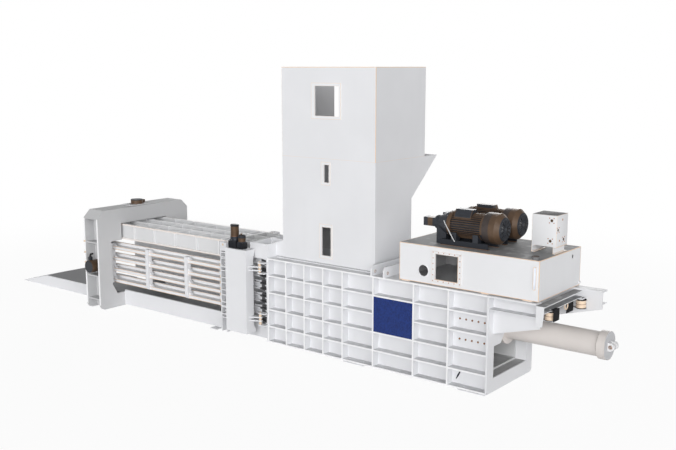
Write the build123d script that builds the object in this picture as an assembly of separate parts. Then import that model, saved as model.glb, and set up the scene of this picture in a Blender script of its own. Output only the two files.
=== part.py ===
from build123d import *
import math
import os

# Every height is measured from the underside of the press body, which stands on foot plates.
# X runs along the bale's path: the main cylinder is at +X and the bales leave at -X.
# The near side is -Y. The origin is on the ground under the middle of the press box.

# Press box
press_width = 1440
chamber_width = 1060
chamber_height = 1130
top_frame = 155
side_wall = 40
rib = 25
rib_rows = 5
front_bay = 407
front_bay_count = 4
rear_bays = (617, 767, 622)
end_plate = 30
floor_top = 215
floor_plate = 30
foot_plate = 15
jack_from_rib = 92.5
deck_plate = 40

# Baling ram and its cylinder
ram_length = 2000
ram_retreat = 28
ram_rear_gap = 180
ram_side_gap = 10
ram_top_gap = 8
ram_plate = 30
ram_running_gap = 0.3
face_depth = 150
knife_gap = 2
knife_set_back = 160
fixed_knife_length = 80
fixed_knife_height = 36
barrel_radius = 180
barrel_bore = 140
barrel_over_floor = 662
barrel_overhang = 1420
gland_length = 120
piston_length = 120
piston_gap = 0.3
main_rod_radius = 100
rod_fit = 0.08
collar_radius = 208
collar_length = 120
clevis_reach = 100
clevis_hole = 30

# Wires and tying unit
wire_count = 5
first_wire = 177
last_wire = 53
wire_gap = 60
needle_slot = 36
needle_width = 50
needle_height = 26
needle_from_press = 526
needle_overrun = 700
needle_parked = 600
tier_length = 1140
tier_post_gap = 130
tier_recess = 620
comb_rib = 20
comb_rib_offset = 65

# Hopper
hopper_length = 1962
hopper_front = 480
hopper_back = 550
hopper_throat = 1086
hopper_lower_rise = 1763
hopper_upper_rise = 1491
hopper_lip = 1320
upper_back = 930
sheet = 12
flange = 80

# Channel, lid and side walls
wall_past_portal = 773
wall_band = 166
rail_bar = 60
lid_height = 305
lid_length = 3455
lid_end_gap = 12
lid_past_portal = 329.5
lid_first_rib = 181
lid_pitch = 594
lid_plate = 30
lid_side_gap = 5
strap_width = 80
strap_proud = 30
strap_notch = 62
strap_toe = 70
gusset_leg = 55
chute_flat = 1687
chute_ramp = 890

# Portal and its tension cylinders
portal_depth = 440
portal_plate = 40
portal_side = 220
portal_head = 315
portal_strap_proud = 110
rod_show = 125
rod_radius = 60
cylinder_radius = 122
cylinder_bore = 100
cylinder_length = 305
port_width = 60
port_reach = 70
port_from_end = 50
cap_length = 30
rest_gap = 0.3

# Oil tank and drives
tank_length = 2352
tank_height = 587
tank_near = 660
tank_far = 710
tank_sheet = 10
tank_from_hopper = 601
cowl_from_tank_end = 745
motor_offset = 280
motor_rail_height = 90
shaft_height = 220

# Worked out from the driving sizes
press_length = knife_set_back + hopper_length + ram_retreat + ram_length + ram_rear_gap
half_width = press_width / 2
chamber = chamber_width / 2
wall_outer = chamber + side_wall
front_x = -press_length / 2
rear_x = press_length / 2
plate_x0 = rear_x - end_plate
knife_edge_x = front_x + knife_set_back
hopper_rear_x = knife_edge_x + hopper_length
ram_front = hopper_rear_x + ram_retreat
ram_rear = ram_front + ram_length
needle_x = front_x - needle_from_press
ram_stroke = ram_front - (needle_x - face_depth / 2)
tier_x0 = front_x - tier_length
lid_bottom = floor_top + chamber_height
press_height = lid_bottom + top_frame
rib_pitch_z = press_height / rib_rows
ram_top = lid_bottom - ram_top_gap
barrel_height = floor_top + barrel_over_floor
lowest_wire = floor_top + first_wire
wire_pitch = (lid_bottom - last_wire - lowest_wire) / (wire_count - 1)
wire_heights = [lowest_wire + wire_pitch * k for k in range(wire_count)]
rail_heights = [(low + high) / 2 for low, high in zip(wire_heights, wire_heights[1:])]
lid_x1 = tier_x0 - rib / 2 - lid_end_gap
lid_x = (lid_x1 - lid_length, lid_x1)
portal_x = lid_x[0] + lid_past_portal
strap_reach = half_width + portal_strap_proud
barrel_seat = strap_reach + rod_show
portal_half = barrel_seat + portal_side
portal_span = (portal_x - portal_depth / 2, portal_x + portal_depth / 2)
lid_top = lid_bottom + lid_height
portal_top = lid_top + portal_head
hopper_knee = press_height + hopper_throat
hopper_joint = press_height + hopper_lower_rise
hopper_top = hopper_joint + hopper_upper_rise
tank_x = (hopper_rear_x + tank_from_hopper, hopper_rear_x + tank_from_hopper + tank_length)
cowl_end = tank_x[1] - cowl_from_tank_end
LOW = (Align.CENTER, Align.CENTER, Align.MIN)
CORNER = (Align.MIN, Align.MIN, Align.MIN)


def span(centre, width):
    return (centre - width / 2, centre + width / 2)


def block(x, y, z):
    """A plate or bar between two planes on each axis."""
    return Pos(x[0], y[0], z[0]) * Box(x[1] - x[0], y[1] - y[0], z[1] - z[0], align=CORNER)


def round_x(x, y, z, radius):
    return Pos(x[0], y, z) * Rot(0, 90, 0) * Cylinder(radius, x[1] - x[0], align=LOW)


def round_y(x, y, z, radius):
    return Pos(x, y[0], z) * Rot(-90, 0, 0) * Cylinder(radius, y[1] - y[0], align=LOW)


def round_z(x, y, z, radius):
    return Pos(x, y, z[0]) * Cylinder(radius, z[1] - z[0], align=LOW)


def plate_x(points, x):
    """A plate across the machine: an outline of (y, z) points between two x planes."""
    face = Plane.YZ.offset(x[0]) * make_face(Polyline(*points, close=True))
    return extrude(face, amount=x[1] - x[0], dir=(1, 0, 0))


def plate_y(points, y):
    """A plate along the machine: an outline of (x, z) points between two y planes."""
    face = Plane.XZ.offset(-y[0]) * make_face(Polyline(*points, close=True))
    return extrude(face, amount=y[1] - y[0], dir=(0, 1, 0))


def plate_z(points, z):
    """A level plate: an outline of (x, y) points between two heights."""
    face = Plane.XY.offset(z[0]) * make_face(Polyline(*points, close=True))
    return extrude(face, amount=z[1] - z[0], dir=(0, 0, 1))


def far(shape):
    """The same piece on the far side of the machine."""
    return mirror(shape, Plane.XZ)


def both(shape):
    return [shape, far(shape)]


def write(name, *shapes):
    """One node: its separate solids, lifted onto the foot plates."""
    solids = [solid for shape in shapes for solid in shape.solids()]
    node = Pos(0, 0, foot_plate) * Compound(solids)
    export_step(node, f"parts/{name}.step")


# Press box: walls with welded rib grids

rib_centres = [front_x + rib / 2]
for bay in (front_bay,) * front_bay_count + rear_bays:
    rib_centres.append(rib_centres[-1] + bay)
row_centres = [press_height - rib / 2 - rib_pitch_z * k for k in reversed(range(rib_rows))]
panel_bay = front_bay_count + 1
panel_rows = (1, rib_rows - 2)
panel_thickness = 12
panel_recess = 8
panel_x = (rib_centres[panel_bay] + rib / 2, rib_centres[panel_bay + 1] - rib / 2)
panel_z = (row_centres[panel_rows[0]] + rib / 2, row_centres[panel_rows[1]] - rib / 2)
panel_y = (-half_width + panel_recess, -half_width + panel_recess + panel_thickness)


def press_side():
    """One side wall of the press box, with its grid of welded ribs."""
    side = block((front_x, plate_x0), (-half_width, -chamber), (0, press_height))
    pockets = []
    for index, centre in enumerate(rib_centres):
        last = index == len(rib_centres) - 1
        right = plate_x0 if last else rib_centres[index + 1] - rib / 2
        for row, height in enumerate(row_centres):
            low = rib if row == 0 else row_centres[row - 1] + rib / 2
            x = (centre + rib / 2, right)
            pockets.append(block(x, (-half_width, -wall_outer), (low, height - rib / 2)))
    return side - pockets


def side_access_panel():
    return block(panel_x, panel_y, panel_z)


def panel_seat():
    """The middle rib of the panel's bay stops behind the panel."""
    return block(panel_x, (-half_width, panel_y[1]), panel_z)


def press_floor():
    """The floor plate with its cross ribs and the jacking foot under the middle."""
    floor = block((front_x, plate_x0), (-chamber, chamber), (floor_top - floor_plate, floor_top))
    for centre in rib_centres[1:]:
        floor += block(span(centre, rib), (-chamber, chamber), (0, floor_top - floor_plate))
    jack_x = rib_centres[front_bay_count + 1] - jack_from_rib
    floor += block(span(jack_x, 120), span(0, 120), (0, floor_top - floor_plate))
    floor += block(span(jack_x, 300), span(0, 300), (-foot_plate, 0))
    return floor


knife_seat_z = ram_top + knife_gap
knife_top_z = knife_seat_z + fixed_knife_height
beam_bottom = lid_bottom


def front_beam():
    """The beam over the channel's mouth, rebated for the fixed knife."""
    beam = block((front_x, knife_edge_x), (-chamber, chamber), (beam_bottom, press_height))
    rebate_x = (knife_edge_x - fixed_knife_length, knife_edge_x)
    return beam - block(rebate_x, (-chamber, chamber), (beam_bottom, knife_top_z))


def fixed_knife():
    x = (knife_edge_x - fixed_knife_length, knife_edge_x)
    return block(x, (-chamber, chamber), (knife_seat_z, knife_top_z))


def press_deck():
    """The cover over the parked ram, with the scraper along the hopper's rear edge."""
    z = (press_height - deck_plate, press_height)
    deck = block((hopper_rear_x, plate_x0), (-chamber, chamber), z)
    scraper_x = (hopper_rear_x, hopper_rear_x + rib)
    return deck + block(scraper_x, (-chamber, chamber), (ram_top + knife_gap, z[0]))


barrel_fit = 0.3
window_shoulder = 330
window_lap = 260
window_top = barrel_height - 172


def rear_plate():
    """The end plate, with the cleaning window and the cylinder's seat above it."""
    chamfer = 40
    outline = [(-half_width, chamfer), (-half_width + chamfer, 0), (half_width - chamfer, 0)]
    outline += [(half_width, chamfer), (half_width, press_height), (-half_width, press_height)]
    x = (plate_x0, rear_x)
    half = [(chamber, floor_top), (chamber, window_top), (window_shoulder, window_top)]
    half += [(window_lap, window_top + 75), (barrel_radius + barrel_fit, barrel_height)]
    window = half + [(-y, z) for y, z in reversed(half)]
    plate = plate_x(outline, x) - plate_x(window, x)
    return plate - round_x(x, 0, barrel_height, barrel_radius + barrel_fit)


front_foot = (rib_centres[4] + 40, rib_centres[4] + 450)
rear_foot = (rear_x - 480.5, rear_x - 30)
foot_places = (front_foot, rear_foot)
beam_foot_x = (tier_x0 - 320, tier_x0 - 150)


def foot_plates():
    """Ground plates under the ribs, each with two anchor holes through plate and rib."""
    feet = []
    for x in foot_places:
        foot = block(x, (-half_width - 20, -wall_outer + 10), (-foot_plate, 0))
        feet += both(foot - anchor_holes(x))
    foot = block(beam_foot_x, (-half_width + 10, -wall_outer + 30), (-foot_plate, 0))
    return feet + both(foot - round_z(sum(beam_foot_x) / 2, anchor_y, (-foot_plate, 0), anchor_radius))


anchor_radius = 13
anchor_y = -(half_width + wall_outer) / 2
anchor_inset = 60


def anchor_holes(x):
    places = (x[0] + anchor_inset, x[1] - anchor_inset)
    return [round_z(place, anchor_y, (-foot_plate, rib), anchor_radius) for place in places]


holes = [hole for x in foot_places for hole in anchor_holes(x)]
plain_side = press_side() - holes
press_sides = [plain_side - panel_seat(), far(plain_side)]

# Main cylinder and ram

piston_rear = rear_x + barrel_overhang - 25
piston_front = piston_rear - piston_length
barrel_front = piston_front - ram_stroke - gland_length - 10
barrel_rear = rear_x + barrel_overhang
seat_flange = 40
seat_radius = 260


def main_barrel():
    """The barrel with its gland and the flange that bolts inside the end plate."""
    barrel = round_x((barrel_front, barrel_rear), 0, barrel_height, barrel_radius)
    barrel += round_x((plate_x0 - seat_flange, plate_x0), 0, barrel_height, seat_radius)
    barrel -= round_x((barrel_front + gland_length, barrel_rear), 0, barrel_height, barrel_bore)
    gland = (barrel_front, barrel_front + gland_length)
    return barrel - round_x(gland, 0, barrel_height, main_rod_radius + rod_fit)


lug_plate = 45
lug_gap = 70


def barrel_end_cap():
    """The cap with its collar and the two clevis lugs."""
    x = (barrel_rear, barrel_rear + collar_length)
    cap = round_x(x, 0, barrel_height, collar_radius)
    eye_x = x[1] + clevis_reach - 60
    lug_y = (-lug_gap / 2 - lug_plate, -lug_gap / 2)
    lug = block((x[1], eye_x), lug_y, span(barrel_height, 120))
    lug += round_y(eye_x, lug_y, barrel_height, 60)
    for piece in both(lug):
        cap += piece
    bore_y = (-lug_gap / 2 - lug_plate, lug_gap / 2 + lug_plate)
    return cap - round_y(eye_x, bore_y, barrel_height, clevis_hole)


ram_half = chamber - ram_side_gap
ram_bottom = floor_top + ram_running_gap
face_x = (ram_front, ram_front + face_depth)
back_x = (face_x[1], face_x[1] + ram_plate)


def ram_face_bars():
    """The wear bars of the ram face, with an open slot for each needle between them."""
    lows = [ram_bottom] + [height + needle_slot / 2 for height in wire_heights[:-1]]
    highs = [height - needle_slot / 2 for height in wire_heights]
    return [block(face_x, (-ram_half, ram_half), z) for z in zip(lows, highs)]


def ram_knife():
    """The shearing bar along the ram's top edge, over the top needle slot."""
    z = (wire_heights[-1] + needle_slot / 2, ram_top)
    return block(face_x, (-ram_half, ram_half), z)


def ram_box():
    """Back plate, floor, top and sides of the ram, welded, open to the rear."""
    inside = ram_half - ram_plate
    rear = (back_x[1], ram_rear)
    low = ram_bottom + ram_plate
    high = ram_top - ram_plate
    plates = [block(back_x, (-ram_half, ram_half), (ram_bottom, ram_top))]
    plates.append(block(rear, (-ram_half, ram_half), (ram_bottom, low)))
    plates.append(block(rear, (-ram_half, ram_half), (high, ram_top)))
    plates += both(block(rear, (-ram_half, -inside), (low, high)))
    return plates


def main_rod():
    """The rod, turned in one with its foot flange and its piston."""
    rod = round_x((back_x[1], piston_rear), 0, barrel_height, main_rod_radius)
    rod += round_x((back_x[1], back_x[1] + 40), 0, barrel_height, 150)
    x = (piston_front, piston_rear)
    return rod + round_x(x, 0, barrel_height, barrel_bore - piston_gap)


# Tying frame: comb bars between the wire slots, posts and top

tier_post_x = (tier_x0, tier_x0 + tier_post_gap, front_x - rib / 2)
tier_box_x = (front_x - 775, front_x - 277)
bar_lows = [0] + [height + wire_gap / 2 for height in wire_heights]
bar_highs = [height - wire_gap / 2 for height in wire_heights] + [press_height - 26]
comb_top = bar_highs[-1]


def comb_bar(low, high):
    """A wall strip between two wire slots, with the ribs beside each slot."""
    strip_x = (tier_post_x[0] - rib / 2, front_x)
    strip = block(strip_x, (-wall_outer, -chamber), (low, high))
    first = (tier_post_x[0] + rib / 2, tier_post_x[1] - rib / 2)
    x0 = tier_post_x[1] + rib / 2
    x1 = tier_post_x[2] - rib / 2
    bend = tier_box_x[1]
    deep = [(x0, -wall_outer), (x0, -tier_recess), (bend, -tier_recess)]
    deep += [(x1, -half_width), (x1, -wall_outer)]
    heights = []
    if low > 0:
        heights.append(low - wire_gap / 2 + comb_rib_offset)
    heights.append(min(high + wire_gap / 2 - comb_rib_offset, high - comb_rib / 2))
    if high == comb_top:
        heights[-1] = high - comb_rib / 2
    for height in heights:
        z = span(height, comb_rib)
        strip += block(first, (-half_width, -wall_outer), z)
        strip += plate_z(deep, z)
    return strip


def tier_bars():
    bars = []
    for low, high in zip(bar_lows, bar_highs):
        bars += both(comb_bar(low, high))
    return bars


lid_hinge_x = tier_post_x[0] + 65
lid_hinge_z = lid_top - 40
lid_pin = 20
pin_fit = 0.08


def tier_posts():
    """The upright plates of the tying frame, and the cheeks that hold the lid's pins."""
    posts = []
    for place in tier_post_x[:2]:
        posts += both(block(span(place, rib), (-half_width, -wall_outer), (0, lid_top)))
    rear_post = block(span(tier_post_x[2], rib), (-half_width, -wall_outer), (0, comb_top))
    posts += both(rear_post)
    cheek_x = (tier_post_x[0] + rib / 2, tier_post_x[1] - rib / 2)
    cheek = block(cheek_x, (-half_width, -half_width + rib), (comb_top + 20, lid_top))
    cheek -= round_y(lid_hinge_x, (-half_width, -half_width + rib), lid_hinge_z, lid_pin)
    return posts + both(cheek)


def grid(x, y, z, rows, columns, bottom, web):
    """A stiffened cover: a bottom plate with a grid of upright webs, open at the top."""
    cover = block(x, y, z)
    pockets = []
    for left, right in zip(columns, columns[1:]):
        for near, beyond in zip(rows, rows[1:]):
            pocket_x = (left + web / 2, right - web / 2)
            pocket_y = (near + web / 2, beyond - web / 2)
            pockets.append(block(pocket_x, pocket_y, (z[0] + bottom, z[1])))
    return cover - pockets


shear_x = (front_x - 400, front_x)
tier_top_x = (tier_post_x[0] - rib / 2, front_x)
lid_rows = 3


def tier_top():
    """The fixed cover of the tying frame, stepped down under the shear beam."""
    x = (tier_top_x[0], shear_x[0])
    columns = [x[0] + rib / 2, sum(x) / 2, x[1] - rib / 2]
    width = chamber_width - rib
    rows = [-width / 2 + width / lid_rows * k for k in range(lid_rows + 1)]
    cover = grid(x, (-chamber, chamber), (lid_bottom, lid_top), rows, columns, lid_plate, rib)
    return cover + block(shear_x, (-chamber, chamber), (lid_bottom, comb_top))


shear_top = press_height + 236


def shear_beam():
    """The open-topped box beam across the tying frame, before the hopper."""
    z = (comb_top, shear_top)
    columns = [shear_x[0] + rib / 2, shear_x[1] - rib / 2]
    rows = [-half_width + rib / 2, -chamber / 3, chamber / 3, half_width - rib / 2]
    return grid(shear_x, (-half_width, half_width), z, rows, columns, rib, rib)


# Tying unit: door box, twister, needles

tier_pin = (front_x - 120, -785)
tier_pin_radius = 16
tier_eye = 38
door_front = -965
door_back = -780
door_flare = -735
door_z = (140, lid_top - 20)
hinge_base = (door_z[0] + 145, door_z[1] - 420)
tier_pin_z = ((hinge_base[0], hinge_base[0] + 250), (hinge_base[1], hinge_base[1] + 225))
tier_lug_z = (hinge_base[0] + 10, hinge_base[0] + 220, hinge_base[1] + 15, hinge_base[1] + 195)
tier_arm_z = (hinge_base[0] + 84, hinge_base[0] + 146, hinge_base[1] + 59, hinge_base[1] + 121)
tier_latch = (tier_box_x[0] + tier_box_x[1] - tier_pin[0], tier_pin[1])
latch_gap = 1.5
tier_lug = 20
door_sheet = 10
twister_at = (front_x - 640, -850)
twister_radius = 22
twister_head = 55
boss_radius = 45
boss_length = 50


def tier_lugs():
    """The fixed ears of the tying box's hinges, and of its latches on the other side."""
    lugs = []
    hinge_x = (tier_pin[0], front_x + 15)
    latch_x = (tier_post_x[1] - rib / 2, tier_latch[0])
    for low in tier_lug_z:
        z = (low, low + tier_lug)
        for pin, x in ((tier_pin, hinge_x), (tier_latch, latch_x)):
            ear = block(x, (pin[1] - tier_eye, -half_width), z)
            ear += round_z(*pin, z, tier_eye)
            lugs.append(ear - round_z(*pin, z, tier_pin_radius))
    return lugs


def tier_door():
    """The tying box: a housing open towards the channel, with hinge arms and latch hooks."""
    taper = (door_z[0] + 50, door_z[0] + 130, door_z[1] - 160, door_z[1] - 30)
    outline = [(door_front, door_z[0]), (door_front, door_z[1]), (door_flare, door_z[1])]
    outline += [(door_flare, taper[3]), (door_back, taper[2]), (door_back, taper[1])]
    outline += [(door_flare, taper[0]), (door_flare, door_z[0])]
    inner_z = (door_z[0] + door_sheet, door_z[1] - door_sheet)
    inner_x = (tier_box_x[0] + door_sheet, tier_box_x[1] - door_sheet)
    inner_y = (door_front + door_sheet, door_flare)
    door = plate_x(outline, tier_box_x) - block(inner_x, inner_y, inner_z)
    for z in ((inner_z[0], inner_z[0] + boss_length), (inner_z[1] - boss_length, inner_z[1])):
        door += round_z(*twister_at, z, boss_radius)
        door -= round_z(*twister_at, z, twister_radius + rod_fit)
    wall = tier_box_x[1]
    arm = [(wall, door_back - 110), (wall, door_back - 10)]
    arm += [(tier_pin[0], tier_pin[1] + tier_eye), (tier_pin[0], tier_pin[1] - tier_eye)]
    hook = [(tier_box_x[0], door_back - 110), (tier_box_x[0], door_back - 10)]
    hook += [(tier_latch[0], tier_latch[1] + tier_eye), (tier_latch[0], tier_latch[1] - tier_eye)]
    throat = tier_pin_radius + latch_gap
    for low in tier_arm_z:
        z = (low, low + tier_lug)
        piece = plate_z(arm, z) + round_z(*tier_pin, z, tier_eye)
        door += piece - round_z(*tier_pin, z, tier_pin_radius + pin_fit)
        piece = plate_z(hook, z) + round_z(*tier_latch, z, tier_eye)
        piece -= round_z(*tier_latch, z, throat)
        mouth_y = (tier_latch[1], tier_latch[1] + tier_eye)
        door += piece - block(span(tier_latch[0], 2 * throat), mouth_y, z)
    return door


def twister_shaft():
    """The upright shaft with one slotted twister head at each wire."""
    z = (door_z[0] + door_sheet + rest_gap, door_z[1] - door_sheet - rest_gap)
    shaft = round_z(*twister_at, z, twister_radius)
    for height in wire_heights:
        head = round_z(*twister_at, span(height, 40), twister_head)
        notch_x = (twister_at[0] + twister_radius + 4, twister_at[0] + twister_head)
        shaft += head - block(notch_x, span(twister_at[1], 16), span(height, 40))
    return shaft


cutter_x = front_x - 470


def tier_gearboxes():
    top = door_z[1]
    tall = block(span(twister_at[0], 180), span(twister_at[1], 150), (top, top + 130))
    short = block(span(cutter_x, 130), span(twister_at[1], 130), (top, top + 110))
    return [tall, short]


def tier_motors():
    """The twister's motor and the wire cutter's shorter one, on their gearboxes."""
    top = door_z[1]
    tall = round_z(*twister_at, (top + 130, top + 410), 73)
    short = round_z(cutter_x, twister_at[1], (top + 110, top + 240), 65)
    short += round_z(cutter_x, twister_at[1], (top + 240, top + 270), 30)
    return [tall, short]


needle_stroke = needle_parked + needle_overrun
beam_gap = 20
beam_y = (tier_recess + beam_gap + needle_stroke, tier_recess + beam_gap + needle_stroke + 80)
guide_rod_z = (wire_heights[0] - 107, wire_heights[-1] + 113)
guide_rod = 20
frame_y = (beam_y[1] + 40, beam_y[1] + 65)
needle_barrel = 50
needle_bore = 40
needle_rod = 22
needle_drive_z = sum(wire_heights) / wire_count - 112
needle_bore_y = (frame_y[1] + cap_length, frame_y[1] + cap_length + needle_stroke + 60)


def needle_carriage():
    """The upright beam that carries the needles, with its drive rod and piston."""
    z = (guide_rod_z[0] - 45, guide_rod_z[1] + 45)
    beam = block(span(needle_x, 80), beam_y, z)
    for height in guide_rod_z:
        beam -= round_y(needle_x, beam_y, height, guide_rod + pin_fit)
    piston_y = (needle_bore_y[1] - 45, needle_bore_y[1] - 5)
    rod = round_y(needle_x, (beam_y[1], piston_y[1]), needle_drive_z, needle_rod)
    rod += round_y(needle_x, piston_y, needle_drive_z, needle_bore - piston_gap)
    return [beam, rod]


def needles():
    """Flat pointed needles, one for each wire."""
    half = needle_width / 2
    tip = needle_parked
    outline = [(needle_x - half, beam_y[0]), (needle_x - half, tip + 80)]
    outline += [(needle_x - 8, tip), (needle_x + 8, tip)]
    outline += [(needle_x + half, tip + 80), (needle_x + half, beam_y[0])]
    return [plate_z(outline, span(height, needle_height)) for height in wire_heights]


def needle_frame():
    """Guide rods, end plate on its foot, and the needle cylinder beyond it."""
    end = block(span(needle_x, 120), frame_y, (-foot_plate, guide_rod_z[1] + 60))
    end -= round_y(needle_x, frame_y, needle_drive_z, needle_rod + 3)
    end += block(span(needle_x, 400), (frame_y[0] - 60, frame_y[0]), (-foot_plate, 15))
    pieces = [end]
    for height in guide_rod_z:
        pieces.append(round_y(needle_x, (wall_outer, frame_y[0]), height, guide_rod))
    barrel_y = (frame_y[1], needle_bore_y[1] + cap_length)
    barrel = round_y(needle_x, barrel_y, needle_drive_z, needle_barrel)
    barrel -= round_y(needle_x, needle_bore_y, needle_drive_z, needle_bore)
    gland_y = (barrel_y[0], barrel_y[0] + cap_length)
    barrel -= round_y(needle_x, gland_y, needle_drive_z, needle_rod + rod_fit)
    return pieces + [barrel]


# Channel

wall_x = (portal_x - wall_past_portal, tier_x0 - 30)
wall_pin = (tier_x0 - 50, -665)
wall_pin_radius = 25
chute_x = wall_x[0]
chute_knee = chute_x - chute_flat
chute_tip = chute_knee - chute_ramp
strap_places = (wall_x[1] - 1975, wall_x[1] - 872)


def channel_floor():
    x = (chute_x, front_x)
    floor = block(x, (-chamber, chamber), (floor_top - floor_plate, floor_top))
    start = portal_span[1] + 300
    step = 600
    count = int((front_x - start) / step)
    for k in range(count + 1):
        place = span(start + step * k, rib)
        floor += block(place, (-chamber, chamber), (0, floor_top - floor_plate))
    return floor


def base_beams():
    x = (portal_span[1], tier_post_x[0] - rib / 2)
    beam = block(x, (-wall_outer, -chamber), (0, floor_top + 85))
    return both(beam)


def chute():
    """The run-out plate on its skirts, sloping to the ground."""
    slope = (floor_top + 5) / (chute_knee - chute_tip)
    outline = [(chute_x, floor_top), (chute_knee, floor_top), (chute_tip, -5)]
    outline += [(chute_tip, -foot_plate), (chute_x, -foot_plate)]
    skin = 15
    under = floor_top - skin
    inner_tip = chute_knee - (under + foot_plate) / slope
    hollow = [(chute_x, under), (chute_knee, under), (inner_tip, -foot_plate)]
    hollow.append((chute_x, -foot_plate))
    inside = wall_outer - rib
    return plate_y(outline, (-wall_outer, wall_outer)) - plate_y(hollow, (-inside, inside))


def rail(height):
    """One T-shaped rail: an inner band and the bar welded to its back."""
    piece = block(wall_x, (-wall_outer, -chamber), span(height, wall_band))
    bar_x = (wall_x[0], wall_x[1] + 3)
    piece += block(bar_x, (-half_width, -wall_outer), span(height, rail_bar))
    pin_z = span(height, rail_bar)
    return piece - round_z(*wall_pin, pin_z, wall_pin_radius + pin_fit)


def strap(place, width, reach):
    """An upright clamp plate, notched over the four rails, with a gusset on each bar."""
    x = span(place, width)
    top = rail_heights[-1] + wall_band / 2
    low = rail_heights[0] - 45
    inner = -half_width + strap_notch
    corners = [(inner, low), (inner, top), (-reach, top), (-reach, low)]
    outline = make_face(Polyline(*corners, close=True))
    toe = outline.vertices().group_by(Axis.Y)[0].sort_by(Axis.X)[0]
    outline = fillet(toe, min(strap_toe, 0.9 * (reach + inner)))
    piece = extrude(Plane.YZ.offset(x[0]) * outline, amount=width, dir=(1, 0, 0))
    gusset_y = (-half_width + 10, inner)
    for height in rail_heights:
        piece -= block(x, (-half_width, inner), span(height, rail_bar))
        seat = height + rail_bar / 2
        gusset = [(x[1], seat), (x[1] + gusset_leg, seat), (x[1] + gusset_leg, seat + 10)]
        gusset += [(x[1] + 12, seat + gusset_leg - 7), (x[1], seat + gusset_leg - 7)]
        piece += plate_y(gusset, gusset_y)
    return piece


def wall_straps():
    plain_reach = half_width + strap_proud
    straps = [strap(place, strap_width, plain_reach) for place in strap_places]
    straps.append(strap(portal_x, 2 * strap_width, strap_reach))
    return straps


wall_lug_heights = [(low + high) / 2 for low, high in zip(rail_heights, rail_heights[1:])]


def wall_lugs():
    """Ears on the first tying post, between the rails, that carry each wall's pin."""
    lugs = []
    for height in wall_lug_heights:
        z = span(height, 60)
        x = (wall_pin[0], tier_post_x[0] - rib / 2)
        ear = block(x, span(wall_pin[1], 72), z) + round_z(*wall_pin, z, 36)
        lugs += both(ear - round_z(*wall_pin, z, wall_pin_radius))
    return lugs


def hinge_pins():
    """The pins of the side walls, the lid, and the tying box with its latches."""
    z = (rail_heights[0] - rail_bar, rail_heights[-1] + rail_bar)
    pins = both(round_z(*wall_pin, z, wall_pin_radius))
    lid_y = (-half_width - 5, -wall_outer + 30)
    pins += both(round_y(lid_hinge_x, lid_y, lid_hinge_z, lid_pin))
    for place in (tier_pin, tier_latch):
        pins += [round_z(*place, z, tier_pin_radius) for z in tier_pin_z]
    return pins


lid_half = wall_outer - lid_side_gap
lid_skirt = 25


def channel_lid():
    """The lid: a plate with webs and a pressure saddle, on two hinge arms."""
    first = lid_x[1] - lid_first_rib
    count = 1 + int((lid_length - lid_first_rib - rib) / lid_pitch)
    ribs = [first - lid_pitch * k for k in range(count)]
    columns = [lid_x[0] + rib / 2] + ribs[::-1] + [lid_x[1] - rib / 2]
    inside = lid_half - lid_skirt
    rows = [-inside + rib / 2, -inside / lid_rows, inside / lid_rows, inside - rib / 2]
    lid = grid(lid_x, (-lid_half, lid_half), (lid_bottom, lid_top), rows, columns, lid_plate, rib)
    pockets = []
    for left, right in zip(columns, columns[1:]):
        x = (left + rib / 2, right - rib / 2)
        z = (lid_bottom + lid_plate, lid_top - rib)
        pockets += both(block(x, (-lid_half, -inside), z))
    lid -= pockets
    lid += block(span(portal_x, 200), span(0, 2 * inside / lid_rows), (lid_bottom, lid_top))
    eye_z = lid_hinge_z
    for arm_y in ((-lid_half, -lid_half + 25), (lid_half - 25, lid_half)):
        arm = block((lid_x[1] - 30, lid_hinge_x), arm_y, span(eye_z, 76))
        arm += round_y(lid_hinge_x, arm_y, eye_z, 38)
        lid += arm
        lid -= round_y(lid_hinge_x, (arm_y[0], arm_y[1]), eye_z, lid_pin + pin_fit)
    return lid


# Portal

pocket_half = lid_half + 35
pocket_top = lid_top + 20
opening_half = strap_reach + 30
opening_top = lid_bottom - 12
opening_low = 458
opening_base = floor_top + 45
side_rod_z = (floor_top + lid_bottom) / 2 + 80
seat_drop = 200
top_seat = portal_top - seat_drop
corner = 155


def portal_plate_at(x):
    """A flame-cut plate round the channel, with a high pocket for the lid."""
    points = [(-portal_half, -foot_plate), (portal_half, -foot_plate)]
    points += [(portal_half, portal_top - corner), (portal_half - corner, portal_top)]
    points += [(-portal_half + corner, portal_top), (-portal_half, portal_top - corner)]
    outline = make_face(Polyline(*points, close=True))
    outline = fillet(outline.vertices().group_by(Axis.Y)[0], 120)
    half = [(chamber, floor_top - floor_plate), (chamber, opening_base)]
    half += [(opening_half - 107, opening_base), (opening_half, opening_low)]
    half.append((opening_half, opening_top))
    half += [(pocket_half, opening_top), (pocket_half, pocket_top)]
    opening = half + [(-y, z) for y, z in reversed(half)]
    plate = extrude(Plane.YZ.offset(x[0]) * outline, amount=x[1] - x[0], dir=(1, 0, 0))
    return plate - plate_x(opening, x)


def portal_plates():
    front = (portal_span[1] - portal_plate, portal_span[1])
    rear = (portal_span[0], portal_span[0] + portal_plate)
    return [portal_plate_at(front), portal_plate_at(rear)]


inner_x = (portal_span[0] + portal_plate, portal_span[1] - portal_plate)


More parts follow.
